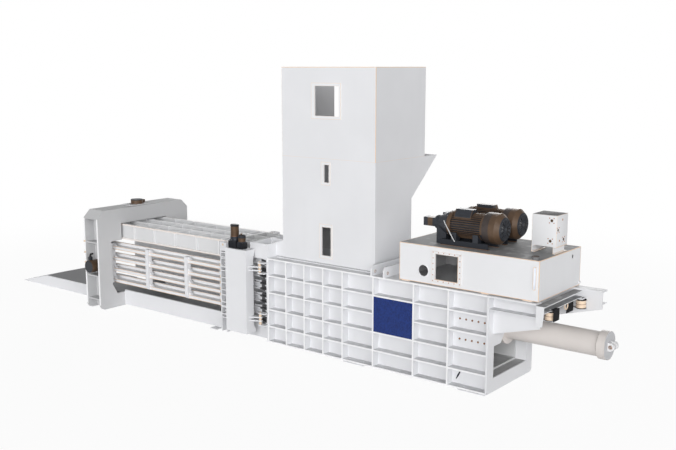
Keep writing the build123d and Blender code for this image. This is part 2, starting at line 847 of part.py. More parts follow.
def portal_ribs():
    """The webs, ribs and cylinder seats between the two portal plates."""
    ribs = []
    web_y = (-barrel_seat, -barrel_seat + rib)
    web = block(inner_x, web_y, (0, top_seat - rib))
    web -= round_y(portal_x, web_y, side_rod_z, rod_radius + 5)
    ribs += both(web)
    for height in (side_rod_z - 670, side_rod_z - 200, side_rod_z + 470):
        shelf = block(inner_x, (-portal_half + rib, -barrel_seat), span(height, rib))
        ribs += both(shelf)
    cap_half = portal_half - corner - 18
    cap_hole = cylinder_radius + 0.5
    cap = block(inner_x, (-cap_half, cap_half), (portal_top - rib, portal_top))
    ribs.append(cap - round_z(portal_x, 0, (portal_top - rib, portal_top), cap_hole))
    skew = rib / math.sqrt(2)
    slant = [(-portal_half, portal_top - corner), (-portal_half + corner, portal_top)]
    slant += [(-portal_half + corner + skew, portal_top - skew)]
    slant += [(-portal_half + skew, portal_top - corner - skew)]
    ribs += both(plate_x(slant, inner_x))
    seat = block(inner_x, (-barrel_seat, barrel_seat), (top_seat - rib, top_seat))
    ribs.append(seat - round_z(portal_x, 0, (top_seat - rib, top_seat), rod_radius + 5))
    base = block(span(portal_x, 300), span(0, 500), (portal_top, portal_top + 20))
    ribs.append(base - round_z(portal_x, 0, (portal_top, portal_top + 20), cap_hole))
    return ribs


def tension_barrel(port_side):
    """A closed cylinder that stands on its gland, with its hose port on one side."""
    barrel = Cylinder(cylinder_radius, cylinder_length, align=LOW)
    port_y = (cylinder_radius - 12, cylinder_radius + port_reach)
    port_z = span(cylinder_length - port_from_end, port_width)
    port = block(span(0, port_width), port_y, port_z)
    barrel += port if port_side > 0 else mirror(port, Plane.XZ)
    bore = Cylinder(cylinder_bore, cylinder_length - 2 * cap_length, align=LOW)
    gland = Cylinder(rod_radius + rod_fit, cap_length, align=LOW)
    return barrel - Pos(0, 0, cap_length) * bore - gland


near_seat = Pos(portal_x, -barrel_seat, side_rod_z) * Rot(90, 0, 0)
far_seat = Pos(portal_x, barrel_seat, side_rod_z) * Rot(-90, 0, 0)
upper_seat = Pos(portal_x, 0, top_seat)


def tension_barrels():
    seats = ((near_seat, 1), (far_seat, -1), (upper_seat, 1))
    return [seat * tension_barrel(port_side) for seat, port_side in seats]


def tension_rod(reach):
    """The rod with its domed nose, drawn along the cylinder's axis from the gland."""
    nose = 160
    sag = nose - math.sqrt(nose ** 2 - rod_radius ** 2)
    rod = Pos(0, 0, -reach) * Cylinder(rod_radius, reach + 230, align=LOW)
    ball = Pos(0, 0, -reach + nose) * Sphere(nose)
    tip = Pos(0, 0, -reach) * Cylinder(rod_radius, sag, align=LOW)
    rod = rod - tip + (tip & ball)
    return rod + Pos(0, 0, 190) * Cylinder(cylinder_bore - piston_gap, 40, align=LOW)


# Hopper

hopper_x = (knife_edge_x, hopper_rear_x)
foot_of_hopper = press_height + sheet
slope_run = hopper_lip - hopper_back
slope_rise = hopper_joint - hopper_knee
slope_width = sheet * math.hypot(slope_run, slope_rise) / slope_rise
inner_back = hopper_back - sheet
inner_knee = hopper_knee + (slope_width - sheet) * slope_rise / slope_run
window_frame = 10
windows = (
    (hopper_x[0] + 730, hopper_x[0] + 1233, hopper_top - 791, hopper_top - 306, 78, 50),
    (hopper_x[0] + 919, hopper_x[0] + 1020, hopper_joint - 387, hopper_joint - 95, 62, 46),
    (hopper_x[0] + 871, hopper_x[0] + 1062, foot_of_hopper + 133, foot_of_hopper + 614, 56, 50),
)


def window_holes(y):
    return [block((x0, x1), y, (z0, z1)) for x0, x1, z0, z1, *_ in windows]


def hopper_lower():
    """The lower hopper: front, two sides and a back that flares out to the lip."""
    y = (-hopper_front, -hopper_front + sheet)
    z = (foot_of_hopper, hopper_joint)
    front = block(hopper_x, y, z) - window_holes(y)
    side = [(y[1], z[0]), (inner_back, z[0]), (inner_back, inner_knee)]
    side += [(hopper_lip - slope_width, z[1]), (y[1], z[1])]
    left = plate_x(side, (hopper_x[0], hopper_x[0] + sheet))
    right = plate_x(side, (hopper_x[1] - sheet, hopper_x[1]))
    back = [(inner_back, z[0]), (hopper_back, z[0]), (hopper_back, hopper_knee)]
    back += [(hopper_lip, z[1]), (hopper_lip - slope_width, z[1]), (inner_back, inner_knee)]
    return [front, left, right, plate_x(back, hopper_x)]


def hopper_upper():
    """The upper enclosure, open at the top and towards the conveyor."""
    y = (-hopper_front, -hopper_front + sheet)
    z = (hopper_joint, hopper_top)
    front = block(hopper_x, y, z) - window_holes(y)
    sides = []
    for x in ((hopper_x[0], hopper_x[0] + sheet), (hopper_x[1] - sheet, hopper_x[1])):
        sides.append(block(x, (y[1], upper_back), z))
    return [front] + sides


def window_frames():
    """Doubler frames round the inspection windows."""
    frames = []
    y = (-hopper_front - window_frame, -hopper_front)
    for x0, x1, z0, z1, side, edge in windows:
        plate = block((x0 - side, x1 + side / 2), y, (z0 - edge, z1 + edge))
        frames.append(plate - block((x0, x1), y, (z0, z1)))
    return frames


def hopper_base():
    """The flange frame under the hopper, and the gussets back to the shear beam."""
    z = (press_height, foot_of_hopper)
    x = (hopper_x[0] - flange, hopper_x[1] + flange)
    y0 = -hopper_front + sheet
    y1 = inner_back
    bars = [block(x, (-hopper_front - flange, y0), z), block(x, (y1, hopper_back + flange), z)]
    bars.append(block((x[0], hopper_x[0] + sheet), (y0, y1), z))
    bars.append(block((hopper_x[1] - sheet, x[1]), (y0, y1), z))
    gusset = [(front_x, foot_of_hopper), (hopper_x[0], foot_of_hopper)]
    gusset += [(hopper_x[0], shear_top + 64), (front_x, shear_top)]
    for y in (-hopper_front, inner_back):
        bars.append(plate_y(gusset, (y, y + sheet)))
    return bars


ear_places = (hopper_rear_x + 103, hopper_rear_x + 343)
ear_height = 165
ear_hole = (-half_width + 90, press_height + 63)


def cross_plates():
    """Two upright plates across the press top, with a lifting eye at each end."""
    half = [(-half_width, press_height), (-half_width, press_height + ear_height - 45)]
    half.append((-half_width + 45, press_height + ear_height))
    outline = half + [(-y, z) for y, z in reversed(half)]
    plates = []
    for place in ear_places:
        plate = plate_x(outline, span(place, 30))
        for side in (1, -1):
            plate -= round_x(span(place, 30), side * ear_hole[0], ear_hole[1], 20)
        plates.append(plate)
    return plates


# Oil tank and what stands on it

tank_z = (press_height + sheet, press_height + sheet + tank_height)
tank_y = (-tank_near, tank_far)
manhole_x = (tank_x[0] + 657, tank_x[0] + 1047)
manhole_z = (tank_z[0] + 91, tank_z[1] - 107)
port_at = (tank_x[0] + 438, tank_z[0] + 193)
port_radius = 85
side_port_at = (tank_y[1] - 286, tank_z[1] - 106)
side_port_radius = 30
filler_at = (tank_x[1] - 104, tank_y[0] + 74)
filler_radius = 40
cap_fit = 0.3
tank_feet = ((tank_x[0] + 42, 140), (rear_x - 165, 120), (tank_x[1] - 250, 140))
tank_foot_y = (half_width - 135, half_width - 65)
drain_radius = 18
drain_reach = 20
gauge_x = tank_x[1] - 65
gauge_half = 28
gauge_z = (tank_z[0] + 168, tank_z[1] - 92)
gauge_depth = 14
gauge_rim = 12


def level_gauge():
    """The upright level gauge on the near wall: a rounded rim round its sunk glass."""
    ends = (gauge_z[0] + gauge_half, gauge_z[1] - gauge_half)
    y = (tank_y[0] - gauge_depth, tank_y[0])
    glass_y = (y[0], y[0] + gauge_depth - 6)
    gauge = block(span(gauge_x, 2 * gauge_half), y, ends)
    glass_half = gauge_half - gauge_rim
    glass = block(span(gauge_x, 2 * glass_half), glass_y, ends)
    for end in ends:
        gauge += round_y(gauge_x, y, end, gauge_half)
        glass += round_y(gauge_x, glass_y, end, glass_half)
    return gauge - glass


def tank():
    """The welded oil tank with its open hand hole, ports, feet and filler neck."""
    shell = block(tank_x, tank_y, tank_z)
    inner = [(low + tank_sheet, high - tank_sheet) for low, high in (tank_x, tank_y, tank_z)]
    shell -= block(*inner)
    front = (tank_y[0], tank_y[0] + tank_sheet)
    shell -= block(manhole_x, front, manhole_z)
    shell -= round_y(port_at[0], front, port_at[1], port_radius)
    side = (tank_x[1] - tank_sheet, tank_x[1])
    shell -= round_x(side, side_port_at[0], side_port_at[1], side_port_radius)
    for start, length in tank_feet:
        for foot in both(block((start, start + length), tank_foot_y, (press_height, tank_z[0]))):
            shell += foot
    drain_x = (tank_x[1], tank_x[1] + drain_reach)
    shell += round_x(drain_x, tank_y[1] - 21, tank_z[0] + 44, drain_radius)
    neck = round_z(*filler_at, (tank_z[1], tank_z[1] + 25), filler_radius)
    return shell + neck + level_gauge()


hatch_frame = 16
hatch_rim = 62


def hand_hole_frame():
    """The bolted frame round the hand hole."""
    y = (tank_y[0] - hatch_frame, tank_y[0])
    x = (manhole_x[0] - hatch_rim, manhole_x[1] + hatch_rim)
    z = (manhole_z[0] - hatch_rim * 2 / 3, manhole_z[1] + hatch_rim * 2 / 3)
    return block(x, y, z) - block(manhole_x, y, manhole_z)


def filler_cap():
    """A screw cap that sits down over the neck."""
    top = tank_z[1] + 25
    cap = round_z(*filler_at, (tank_z[1] + rest_gap, top + 22), filler_radius + 12)
    return cap - round_z(*filler_at, (tank_z[1] + rest_gap, top + rest_gap), filler_radius + cap_fit)


motor_z = tank_z[1] + motor_rail_height + shaft_height
body_x = (cowl_end - 870, cowl_end - 290)
cowl_x = (cowl_end - 290, cowl_end)
bell_x = (cowl_end - 1150, cowl_end - 870)
pump_x = (cowl_end - 1380, cowl_end - 1150)
motor_shaft = 24
cowl_radius = 232
fin_count = 36


def motor():
    """A finned motor body with its end shields, feet, terminal box and shaft bore."""
    root = 178
    crest = 200
    step = 2 * math.pi / fin_count
    points = []
    for k in range(fin_count):
        for radius, share in ((root, 0.0), (root, 0.45), (crest, 0.5), (crest, 0.72)):
            angle = step * (k + share)
            points.append((radius * math.cos(angle), radius * math.sin(angle)))
    body = plate_x(points, (body_x[0] + 40, body_x[1] - 30))
    body += round_x((body_x[0], body_x[0] + 40), 0, 0, 205)
    body += round_x((body_x[1] - 30, body_x[1]), 0, 0, 205)
    feet_z = (-shaft_height, -shaft_height + 50)
    for place in (body_x[0] + 60, body_x[1] - 150):
        for y in ((-190, -80), (80, 190)):
            body += block((place, place + 90), y, (feet_z[0], feet_z[1] + 70))
    box = [(-150, 90), (-150, 150), (-90, 250), (30, 250), (30, 150)]
    body += plate_x(box, (cowl_end - 790, cowl_end - 500))
    bore = round_x(body_x, 0, 0, motor_shaft + rod_fit)
    return Pos(0, -motor_offset, motor_z) * (body - bore)


def fan_cowl():
    """The pressed fan cover, with a ring of radial slots in its end."""
    skin = 6
    profile = [(cowl_x[0], 0), (cowl_x[0], 206), (cowl_x[0] + 15, cowl_radius)]
    profile += [(cowl_x[1] - 75, cowl_radius), (cowl_x[1] - 10, 175), (cowl_x[1], 160)]
    profile.append((cowl_x[1], 0))
    hollow = [(cowl_x[0], 0), (cowl_x[0], 200), (cowl_x[0] + 17, cowl_radius - skin)]
    hollow += [(cowl_x[1] - 78, cowl_radius - skin), (cowl_x[1] - 14, 170)]
    hollow += [(cowl_x[1] - skin, 156), (cowl_x[1] - skin, 0)]
    axis = Axis((0, 0, 0), (1, 0, 0))
    shell = revolve(make_face(Polyline(*profile, close=True)), axis)
    shell -= revolve(make_face(Polyline(*hollow, close=True)), axis)
    slots = []
    for k in range(14):
        slot = block((cowl_x[1] - skin, cowl_x[1]), (45, 145), span(0, 18))
        slots.append(Rot(360 / 14 * k, 0, 0) * slot)
    return Pos(0, -motor_offset, motor_z) * (shell - slots)


def bellhousing():
    """The cast housing between motor and pump, hollow round the coupling."""
    profile = [(bell_x[0], 0), (bell_x[0], 110), (bell_x[0] + 60, 110), (bell_x[1] - 50, 190)]
    profile += [(bell_x[1], 190), (bell_x[1], 0)]
    axis = Axis((0, 0, 0), (1, 0, 0))
    shell = revolve(make_face(Polyline(*profile, close=True)), axis)
    foot = block((bell_x[0] + 30, bell_x[0] + 200), span(0, 200), (-shaft_height - motor_rail_height, 0))
    shell += foot
    shell -= round_x((bell_x[0] + 30, bell_x[1]), 0, 0, 90)
    return Pos(0, -motor_offset, motor_z) * shell


def pump():
    body = block((pump_x[0], pump_x[1] - 20), span(0, 132), span(0, 132))
    body += round_x((pump_x[1] - 20, pump_x[1]), 0, 0, 100)
    return Pos(0, -motor_offset, motor_z) * body


def rotor():
    """The motor's shaft with the cooling fan and the pump coupling keyed on it."""
    fan_x = (cowl_x[1] - 110, cowl_x[1] - 60)
    shaft = round_x((bell_x[0] + 60, fan_x[1] + 10), 0, 0, motor_shaft)
    fan = round_x(fan_x, 0, 0, 50)
    for k in range(8):
        fan += Rot(45 * k, 0, 0) * block(fan_x, (40, 185), span(0, 8))
    fan -= round_x(fan_x, 0, 0, motor_shaft)
    half_x = (bell_x[0] + 50, bell_x[0] + 190)
    coupling = round_x(half_x, 0, 0, 70)
    coupling -= round_x((bell_x[0] + 60, half_x[1]), 0, 0, motor_shaft)
    return [Pos(0, -motor_offset, motor_z) * piece for piece in (shaft, fan, coupling)]


manifold_x = (tank_x[1] - 415, tank_x[1] - 29)
manifold_y = (-100, 268)
manifold_z = (tank_z[1] + 101, tank_z[1] + 561)
rail_x = (cowl_end - 1000, cowl_end - 190)


def tank_top_channels():
    """The motors' base rails and the manifold's two legs, all of folded channel."""
    rails = []
    z = (tank_z[1], tank_z[1] + motor_rail_height)
    for y in (-460, -160):
        channel = block(rail_x, (y, y + 60), z)
        rails += both(channel - block(rail_x, (y + 10, y + 60), (z[0] + 10, z[1] - 10)))
    leg_z = (tank_z[1], manifold_z[0])
    for x in (manifold_x[0], manifold_x[1] - 50):
        leg = block((x, x + 50), manifold_y, leg_z)
        rails.append(leg - block((x + 8, x + 50), manifold_y, (leg_z[0] + 8, leg_z[1] - 8)))
    return rails


def valve_manifold():
    """The drilled valve block with its flanged ports."""
    body = block(manifold_x, manifold_y, manifold_z)
    for x, z in ((60, 390), (60, 90)):
        place = (manifold_x[0] + x, manifold_z[0] + z)
        body -= round_y(place[0], (manifold_y[0], manifold_y[0] + 60), place[1], 16)
    for y, z in ((150, 120), (150, 260)):
        place = (manifold_y[0] + y, manifold_z[0] + z)
        pad_x = (manifold_x[1], manifold_x[1] + 30)
        body += block(pad_x, span(place[0], 100), span(place[1], 90))
        body -= round_x((manifold_x[1] - 40, pad_x[1]), place[0], place[1], 25)
    return body


# Rear bracket frame, cross channel and wire guide rollers

near_bracket = tank_x[1] - 10
far_bracket = near_bracket + 445
channel_beam_x = (near_bracket + 5, near_bracket + 135)
channel_beam_z = (press_height - 127, press_height - 27)


def rear_bracket(end, low, tip):
    """A bracket web with its top and middle flanges."""
    web = [(rear_x, low), (end, tip), (end, press_height - rib)]
    web.append((rear_x, press_height - rib))
    y = (-wall_outer, -wall_outer + rib)
    bracket = plate_y(web, y)
    top_x = (rear_x, end)
    bracket += block(top_x, (-half_width, -wall_outer + rib), (press_height - rib, press_height))
    return bracket + block(top_x, (-half_width, -wall_outer), span(press_height - 200, rib / 2))


def rear_brackets():
    low = press_height - 598
    near = rear_bracket(near_bracket, low, press_height - 401)
    return [near, far(rear_bracket(far_bracket, low, press_height - 273))]


roller_near = (channel_beam_x[0] + 90, -450)
roller_far = (channel_beam_x[0] + 150, 460)
roller_radius = 76
roller_z = (channel_beam_z[0] - 138, channel_beam_z[0] - 23)


def cross_channel():
    """The folded channel across the rear, with its end plate and the rollers' mounts."""
    y = (-half_width + 10, wall_outer - rib)
    z = channel_beam_z
    beam = block(channel_beam_x, y, z)
    beam -= block((channel_beam_x[0] + 10, channel_beam_x[1]), y, (z[0] + 10, z[1] - 10))
    ear = [(channel_beam_x[0], z[1]), (channel_beam_x[1] - 10, z[1])]
    ear += [(channel_beam_x[1] - 10, z[0]), (channel_beam_x[1] - 30, z[0] - 193)]
    ear.append((channel_beam_x[0], z[0] - 193))
    end_y = (y[0] - 10, y[0])
    beam += plate_y(ear, end_y)
    for place in (roller_near, roller_far):
        arm_x = (channel_beam_x[0], place[0] + 40)
        arm_y = span(place[1], 90)
        beam += block(arm_x, arm_y, (roller_z[1] + 8, z[0] + 10))
        beam += block((channel_beam_x[0], place[0] + 40), arm_y, (roller_z[0] - 23, roller_z[0] - 8))
        post_x = (channel_beam_x[0], channel_beam_x[0] + 10)
        beam += block(post_x, arm_y, (roller_z[0] - 23, z[0]))
        beam -= round_z(*place, (roller_z[0] - 23, z[0] + 10), 15 + rod_fit)
    return beam


def guide_roller(place):
    """A wire guide roller: a drum between two flanges on its spindle."""
    z0, z1 = roller_z
    roller = round_z(*place, (z0 - 20, z1 + 20), 15)
    roller += round_z(*place, (z0, z1), roller_radius - 4)
    roller += round_z(*place, (z0, z0 + 14), roller_radius)
    return roller + round_z(*place, (z1 - 14, z1), roller_radius)


def main():
    os.makedirs("parts", exist_ok=True)
    write("press_sides", *press_sides)
    write("side_access_panel", side_access_panel())
    write("press_floor", press_floor())
    write("press_top", front_beam(), press_deck())
    write("fixed_knife", fixed_knife())
    write("rear_plate", rear_plate())
    write("foot_plates", *foot_plates())
    write("main_barrel", main_barrel())
    write("barrel_end_cap", barrel_end_cap())
    write("ram_face_bars", *ram_face_bars())
    write("ram_knife", ram_knife())
    write("ram_box", *ram_box())
    write("main_rod", main_rod())
    write("tier_bars", *tier_bars())
    write("tier_posts", *tier_posts())
    write("tier_top", tier_top())
    write("shear_beam", shear_beam())
    write("tier_door", tier_door())
    write("twister_shaft", twister_shaft())
    write("tier_gearboxes", *tier_gearboxes())
    write("tier_motors", *tier_motors())
    write("needle_carriage", *needle_carriage())
    write("needles", *needles())
    write("needle_frame", *needle_frame())
    write("channel_floor", channel_floor())
    write("base_beams", *base_beams())
    write("chute", chute())
    near_rails = [rail(height) for height in rail_heights]
    write("wall_rails_near", *near_rails)
    write("wall_rails_far", *[far(piece) for piece in near_rails])
    write("wall_straps_near", *wall_straps())
    write("wall_straps_far", *[far(piece) for piece in wall_straps()])
    write("hinge_lugs", *wall_lugs(), *tier_lugs())
    write("hinge_pins", *hinge_pins())
    write("channel_lid", channel_lid())
    write("portal_plates", *portal_plates())
    write("portal_ribs", *portal_ribs())
    write("tension_barrels", *tension_barrels())
    write("side_rod_near", near_seat * tension_rod(barrel_seat - strap_reach - rest_gap))
    write("side_rod_far", far_seat * tension_rod(barrel_seat - strap_reach - rest_gap))
    write("top_rod", upper_seat * tension_rod(top_seat - lid_top - rest_gap))
    write("hopper_lower", *hopper_lower())
    write("hopper_upper", *hopper_upper())
    write("window_frames", *window_frames())
    write("hopper_base", *hopper_base())
    write("cross_plates", *cross_plates())
    write("tank", tank())
    write("hand_hole_frame", hand_hole_frame())
    write("filler_cap", filler_cap())
    write("motors", *both(motor()))
    write("fan_cowls", *both(fan_cowl()))
    write("bellhousings", *both(bellhousing()))
    write("pumps", *both(pump()))
    write("rotor_near", *rotor())
    write("rotor_far", *[far(piece) for piece in rotor()])
    write("tank_top_channels", *tank_top_channels())
    write("valve_manifold", valve_manifold())
    write("rear_brackets", *rear_brackets())
    write("cross_channel", cross_channel())
    write("guide_roller_near", guide_roller(roller_near))
    write("guide_roller_far", guide_roller(roller_far))


main()
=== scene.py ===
import logging
import math
from dataclasses import dataclass
from enum import Enum
from typing import Callable, ClassVar, Iterable, Sequence, Union

import bpy
from mathutils import Matrix, Vector


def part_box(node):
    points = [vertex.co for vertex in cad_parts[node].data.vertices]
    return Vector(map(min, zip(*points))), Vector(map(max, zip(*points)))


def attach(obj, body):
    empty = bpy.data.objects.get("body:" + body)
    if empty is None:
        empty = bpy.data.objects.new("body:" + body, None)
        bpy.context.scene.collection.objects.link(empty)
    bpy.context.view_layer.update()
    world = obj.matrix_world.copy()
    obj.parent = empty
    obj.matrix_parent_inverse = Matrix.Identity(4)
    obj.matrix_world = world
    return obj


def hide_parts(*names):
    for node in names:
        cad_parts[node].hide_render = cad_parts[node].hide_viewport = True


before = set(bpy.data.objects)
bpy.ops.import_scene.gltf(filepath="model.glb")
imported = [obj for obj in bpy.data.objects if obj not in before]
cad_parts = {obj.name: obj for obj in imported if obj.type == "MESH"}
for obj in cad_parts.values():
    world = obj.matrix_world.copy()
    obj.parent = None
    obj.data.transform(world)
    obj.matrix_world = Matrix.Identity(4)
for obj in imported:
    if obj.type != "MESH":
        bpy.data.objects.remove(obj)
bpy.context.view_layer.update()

LOG = logging.getLogger("baler")
LIFT = 0.015
Point = tuple[float, float, float]
Colour = tuple[float, float, float]
Profile = Sequence[tuple[float, float]]
Line = tuple[float, float]
Corners = tuple[Point, Point]
HoopSize = tuple[float, ...]
Piece = bpy.types.Object
Material = bpy.types.Material
SIDES = ((-1, "near"), (1, "far"))


def at(x: float, y: float, z: float) -> Point:
    """A place in metres, from millimetres over the underside of the press body."""
    return (x / 1000, y / 1000, z / 1000 + LIFT)


def up_to(z: float) -> float:
    """A height in metres over the ground, from millimetres over the press body's underside."""
    return at(0, 0, z)[2]


def shifted(place: Point, x: float = 0.0, y: float = 0.0, z: float = 0.0) -> Point:
    """A place moved by those steps."""
    return (place[0] + x, place[1] + y, place[2] + z)


def spaced(start: float, end: float, count: int) -> list[float]:
    """Places spread evenly from start to end."""
    return [start + (end - start) * k / (count - 1) for k in range(count)]


def grown(radius: float, steps: Profile) -> Profile:
    """A turned piece's profile, from steps that say what each adds to a radius."""
    return [(reach, radius + more) for reach, more in steps]


def steps_from(places: Sequence[Point]) -> list[Point]:
    """The moves that bring a piece from the first place to each of the others."""
    return [tuple(b - a for a, b in zip(places[0], place)) for place in places[1:]]


def tinted(colour: Colour, factor: float, lift: float = 0.0) -> Colour:
    """A colour made lighter or darker by a factor, and raised by an even amount."""
    return tuple(factor * part + lift for part in colour)


class Axis(Enum):
    """The machine's three directions."""

    X = 0
    Y = 1
    Z = 2

    def vector(self, sign: float = 1.0) -> Vector:
        """The unit vector along this direction."""
        values = [0.0, 0.0, 0.0]
        values[self.value] = sign
        return Vector(values)


UP, BACKWARD, NEARWARD = Axis.Z.vector(), Axis.X.vector(), Axis.Y.vector(-1)


# Shader maths


def math_method(operation: str, flipped: bool = False) -> Callable[["Shade", "Value"], "Shade"]:
    """A method of Shade that adds one Math node.

    Args:
        operation: The node's operation.
        flipped: Whether the other value comes first.

    Returns:
        The method.
    """

    def method(self: "Shade", other: "Value") -> "Shade":
        """Adds the node."""
        values = (other, self) if flipped else (self, other)
        return self.bench.math(operation, *values)

    return method


class Shade:
    """A number that varies over a surface. Python's operators add Math nodes to it."""

    def __init__(self, bench: "NodeBench", socket: bpy.types.NodeSocket) -> None:
        """Wraps a socket of that bench's material."""
        self.bench = bench
        self.socket = socket

    __add__ = __radd__ = math_method("ADD")
    __mul__ = __rmul__ = math_method("MULTIPLY")
    __sub__ = math_method("SUBTRACT")
    __rsub__ = math_method("SUBTRACT", flipped=True)
    __gt__ = math_method("GREATER_THAN")
    __lt__ = math_method("LESS_THAN")
    top = math_method("MAXIMUM")
    low = math_method("MINIMUM")

    def near(self, place: "Value", reach: float) -> "Shade":
        """1 within reach of a place."""
        return self.bench.math("COMPARE", self, place, reach)

    def root(self) -> "Shade":
        """Square root."""
        return self.bench.math("SQRT", self)

    def size(self) -> "Shade":
        """Absolute value."""
        return self.bench.math("ABSOLUTE", self)

    def spread(self, start: float, end: float) -> "Shade":
        """0 at start, 1 at end, smooth between and held outside."""
        settings = {"interpolation_type": "SMOOTHSTEP", "clamp": True}
        values = {"Value": self, "From Min": start, "From Max": end}
        return Shade(self.bench, self.bench.add("ShaderNodeMapRange", settings, values).outputs[0])


Value = Union[Shade, float]


class NodeBench:
    """One material's nodes, and the only place where nodes are made."""

    def __init__(self, name: str) -> None:
        """Starts an empty material of that name."""
        self.material = bpy.data.materials.new(name)
        self.material.use_nodes = True
        self.tree = self.material.node_tree
        self.tree.nodes.clear()
        self._place: tuple[Shade, Shade, Shade] | None = None
        self._coords: bpy.types.Node | None = None

    def add(
        self, kind: str, settings: dict | None = None, values: dict | None = None
    ) -> bpy.types.Node:
        """Adds a node.

        Args:
            kind: The node's type.
            settings: Properties that are set first.
            values: Input sockets by name or index, each a number, a colour, a Shade or a socket.

        Returns:
            The node.
        """
        node = self.tree.nodes.new(kind)
        for key, value in (settings or {}).items():
            setattr(node, key, value)
        for key, value in (values or {}).items():
            socket = node.inputs[key]
            if isinstance(value, Shade):
                value = value.socket
            if isinstance(value, bpy.types.NodeSocket):
                self.tree.links.new(value, socket)
            elif isinstance(value, tuple) and len(value) == 3 and socket.type == "RGBA":
                socket.default_value = (*value, 1.0)
            else:
                socket.default_value = value
        return node

    def math(self, operation: str, *values: Value) -> Shade:
        """A Math node of that operation on the values."""
        node = self.add("ShaderNodeMath", {"operation": operation}, dict(enumerate(values)))
        return Shade(self, node.outputs[0])

    def coords(self) -> bpy.types.NodeSocket:
        """Object coordinates, in metres in the machine's frame at rest."""
        if self._coords is None:
            self._coords = self.add("ShaderNodeTexCoord")
        return self._coords.outputs["Object"]

    def place(self) -> tuple[Shade, Shade, Shade]:
        """The three coordinates as numbers."""
        if self._place is None:
            node = self.add("ShaderNodeSeparateXYZ", values={0: self.coords()})
            self._place = tuple(Shade(self, socket) for socket in node.outputs)
        return self._place

    def facing(self) -> tuple[Shade, Shade, Shade]:
        """The surface normal's three parts in the piece's own frame."""
        self.coords()
        node = self.add("ShaderNodeSeparateXYZ", values={0: self._coords.outputs["Normal"]})
        return tuple(Shade(self, socket) for socket in node.outputs)

    def noise(self, scale: float, detail: float = 3.0, stretch: Point = (1, 1, 1)) -> Shade:
        """Cloudy variation from 0 to 1, drawn out along an axis where stretch is small."""
        vector = self.coords()
        if stretch != (1, 1, 1):
            vector = self.add("ShaderNodeMapping", values={0: vector, "Scale": stretch}).outputs[0]
        values = {"Vector": vector, "Scale": scale, "Detail": detail}
        return Shade(self, self.add("ShaderNodeTexNoise", values=values).outputs[0])

    def cells(self, scale: float) -> Shade:
        """Distance to the nearest point of an uneven mesh of cells."""
        values = {"Vector": self.coords(), "Scale": scale}
        return Shade(self, self.add("ShaderNodeTexVoronoi", values=values).outputs[0])

    def blend(self, share: Value, first, second) -> bpy.types.NodeSocket:
        """A colour that goes from the first to the second as share goes from 0 to 1."""
        node = self.add("ShaderNodeMix", {"data_type": "RGBA"}, {0: share, 6: first, 7: second})
        return node.outputs[2]

    def bump(self, height: Shade, depth: float, strength: float) -> bpy.types.NodeSocket:
        """A bumped normal."""
        values = {"Height": height, "Distance": depth, "Strength": strength}
        return self.add("ShaderNodeBump", values=values).outputs[0]

    def surface(self, **values) -> Material:
        """Closes the material with a Principled shader.

        Args:
            values: Its inputs, a space in a name written as an underline.

        Returns:
            The finished material.
        """
        named = {key.replace("_", " "): value for key, value in values.items()}
        shader = self.add("ShaderNodeBsdfPrincipled", values=named)
        self.add("ShaderNodeOutputMaterial", values={0: shader.outputs[0]})
        return self.material


# Finishes


class Paint(Enum):
    """The machine's colours, of its paints, its bare metals and its plastics."""

    WHITE = (0.80, 0.805, 0.825)
    LID_WHITE = (0.84, 0.845, 0.86)
    LID = (0.72, 0.725, 0.735)
    GREY = (0.62, 0.625, 0.63)
    # painted shade: the portal and the press floor get darker greys for the shade they stand in,
    # and the rim white is a painted highlight
    PORTAL = (0.60, 0.603, 0.612)
    FLOOR = (0.50, 0.502, 0.507)
    RIM_HIGHLIGHT = (0.93, 0.93, 0.94)
    # a dark grey, partly painted shade where it is used on the channel floor and the chute
    DECK = (0.188, 0.190, 0.196)
    BEIGE = (0.73, 0.685, 0.655)
    BLUE = (0.008, 0.025, 0.135)
    BRONZE = (0.085, 0.05, 0.028)
    SLATE = (0.021, 0.024, 0.031)
    BLACK = (0.012, 0.012, 0.014)
    PRIMER = (0.86, 0.66, 0.50)
    # painted shade: the chamber, slot and inside greys stand for the shade inside the press, in the
    # needle slots and inside the hopper and tank
    CHAMBER_SHADE = (0.24, 0.24, 0.25)
    STEP = (0.20, 0.20, 0.205)
    SLOT_SHADE = (0.10, 0.10, 0.105)
    INSIDE = (0.62, 0.62, 0.63)
    # painted highlight: a paler white for the lid's rims
    LID_RIM_HIGHLIGHT = (0.86, 0.86, 0.87)
    DISC = (0.56, 0.565, 0.58)
    LUG = (0.80, 0.80, 0.81)
    CROWN = (0.05, 0.03, 0.02)
    SOLE = (0.16, 0.09, 0.05)
    STEEL = (0.56, 0.56, 0.57)
    COPPER = (0.62, 0.34, 0.2)
    ZINC = (0.90, 0.72, 0.55)
    BRONZED = (0.30, 0.15, 0.08)
    WIRE = (0.055, 0.06, 0.07)
    RUBBER = (0.015, 0.015, 0.017)
    MATT = (0.010, 0.010, 0.012)
    GLASS = (0.70, 0.73, 0.80)


@dataclass(frozen=True)
class EdgeRun:
    """A straight cut edge that shows the primer: where two planes meet.

    The strength is the share of primer, and the span keeps the edge between two places along it.
    """

    first: Axis
    first_at: float
    second: Axis
    second_at: float
    width: float = 0.008
    strength: float = 1.0
    span: tuple[float, float] | None = None

    def mask(self, bench: NodeBench) -> Shade:
        """The strength on the edge, 0 elsewhere."""
        place = bench.place()
        one = place[self.first.value].near(self.first_at, self.width)
        one = one * place[self.second.value].near(self.second_at, self.width)
        if self.span:
            along = place[3 - self.first.value - self.second.value]
            one = one * (along > self.span[0]) * (along < self.span[1])
        return one * self.strength


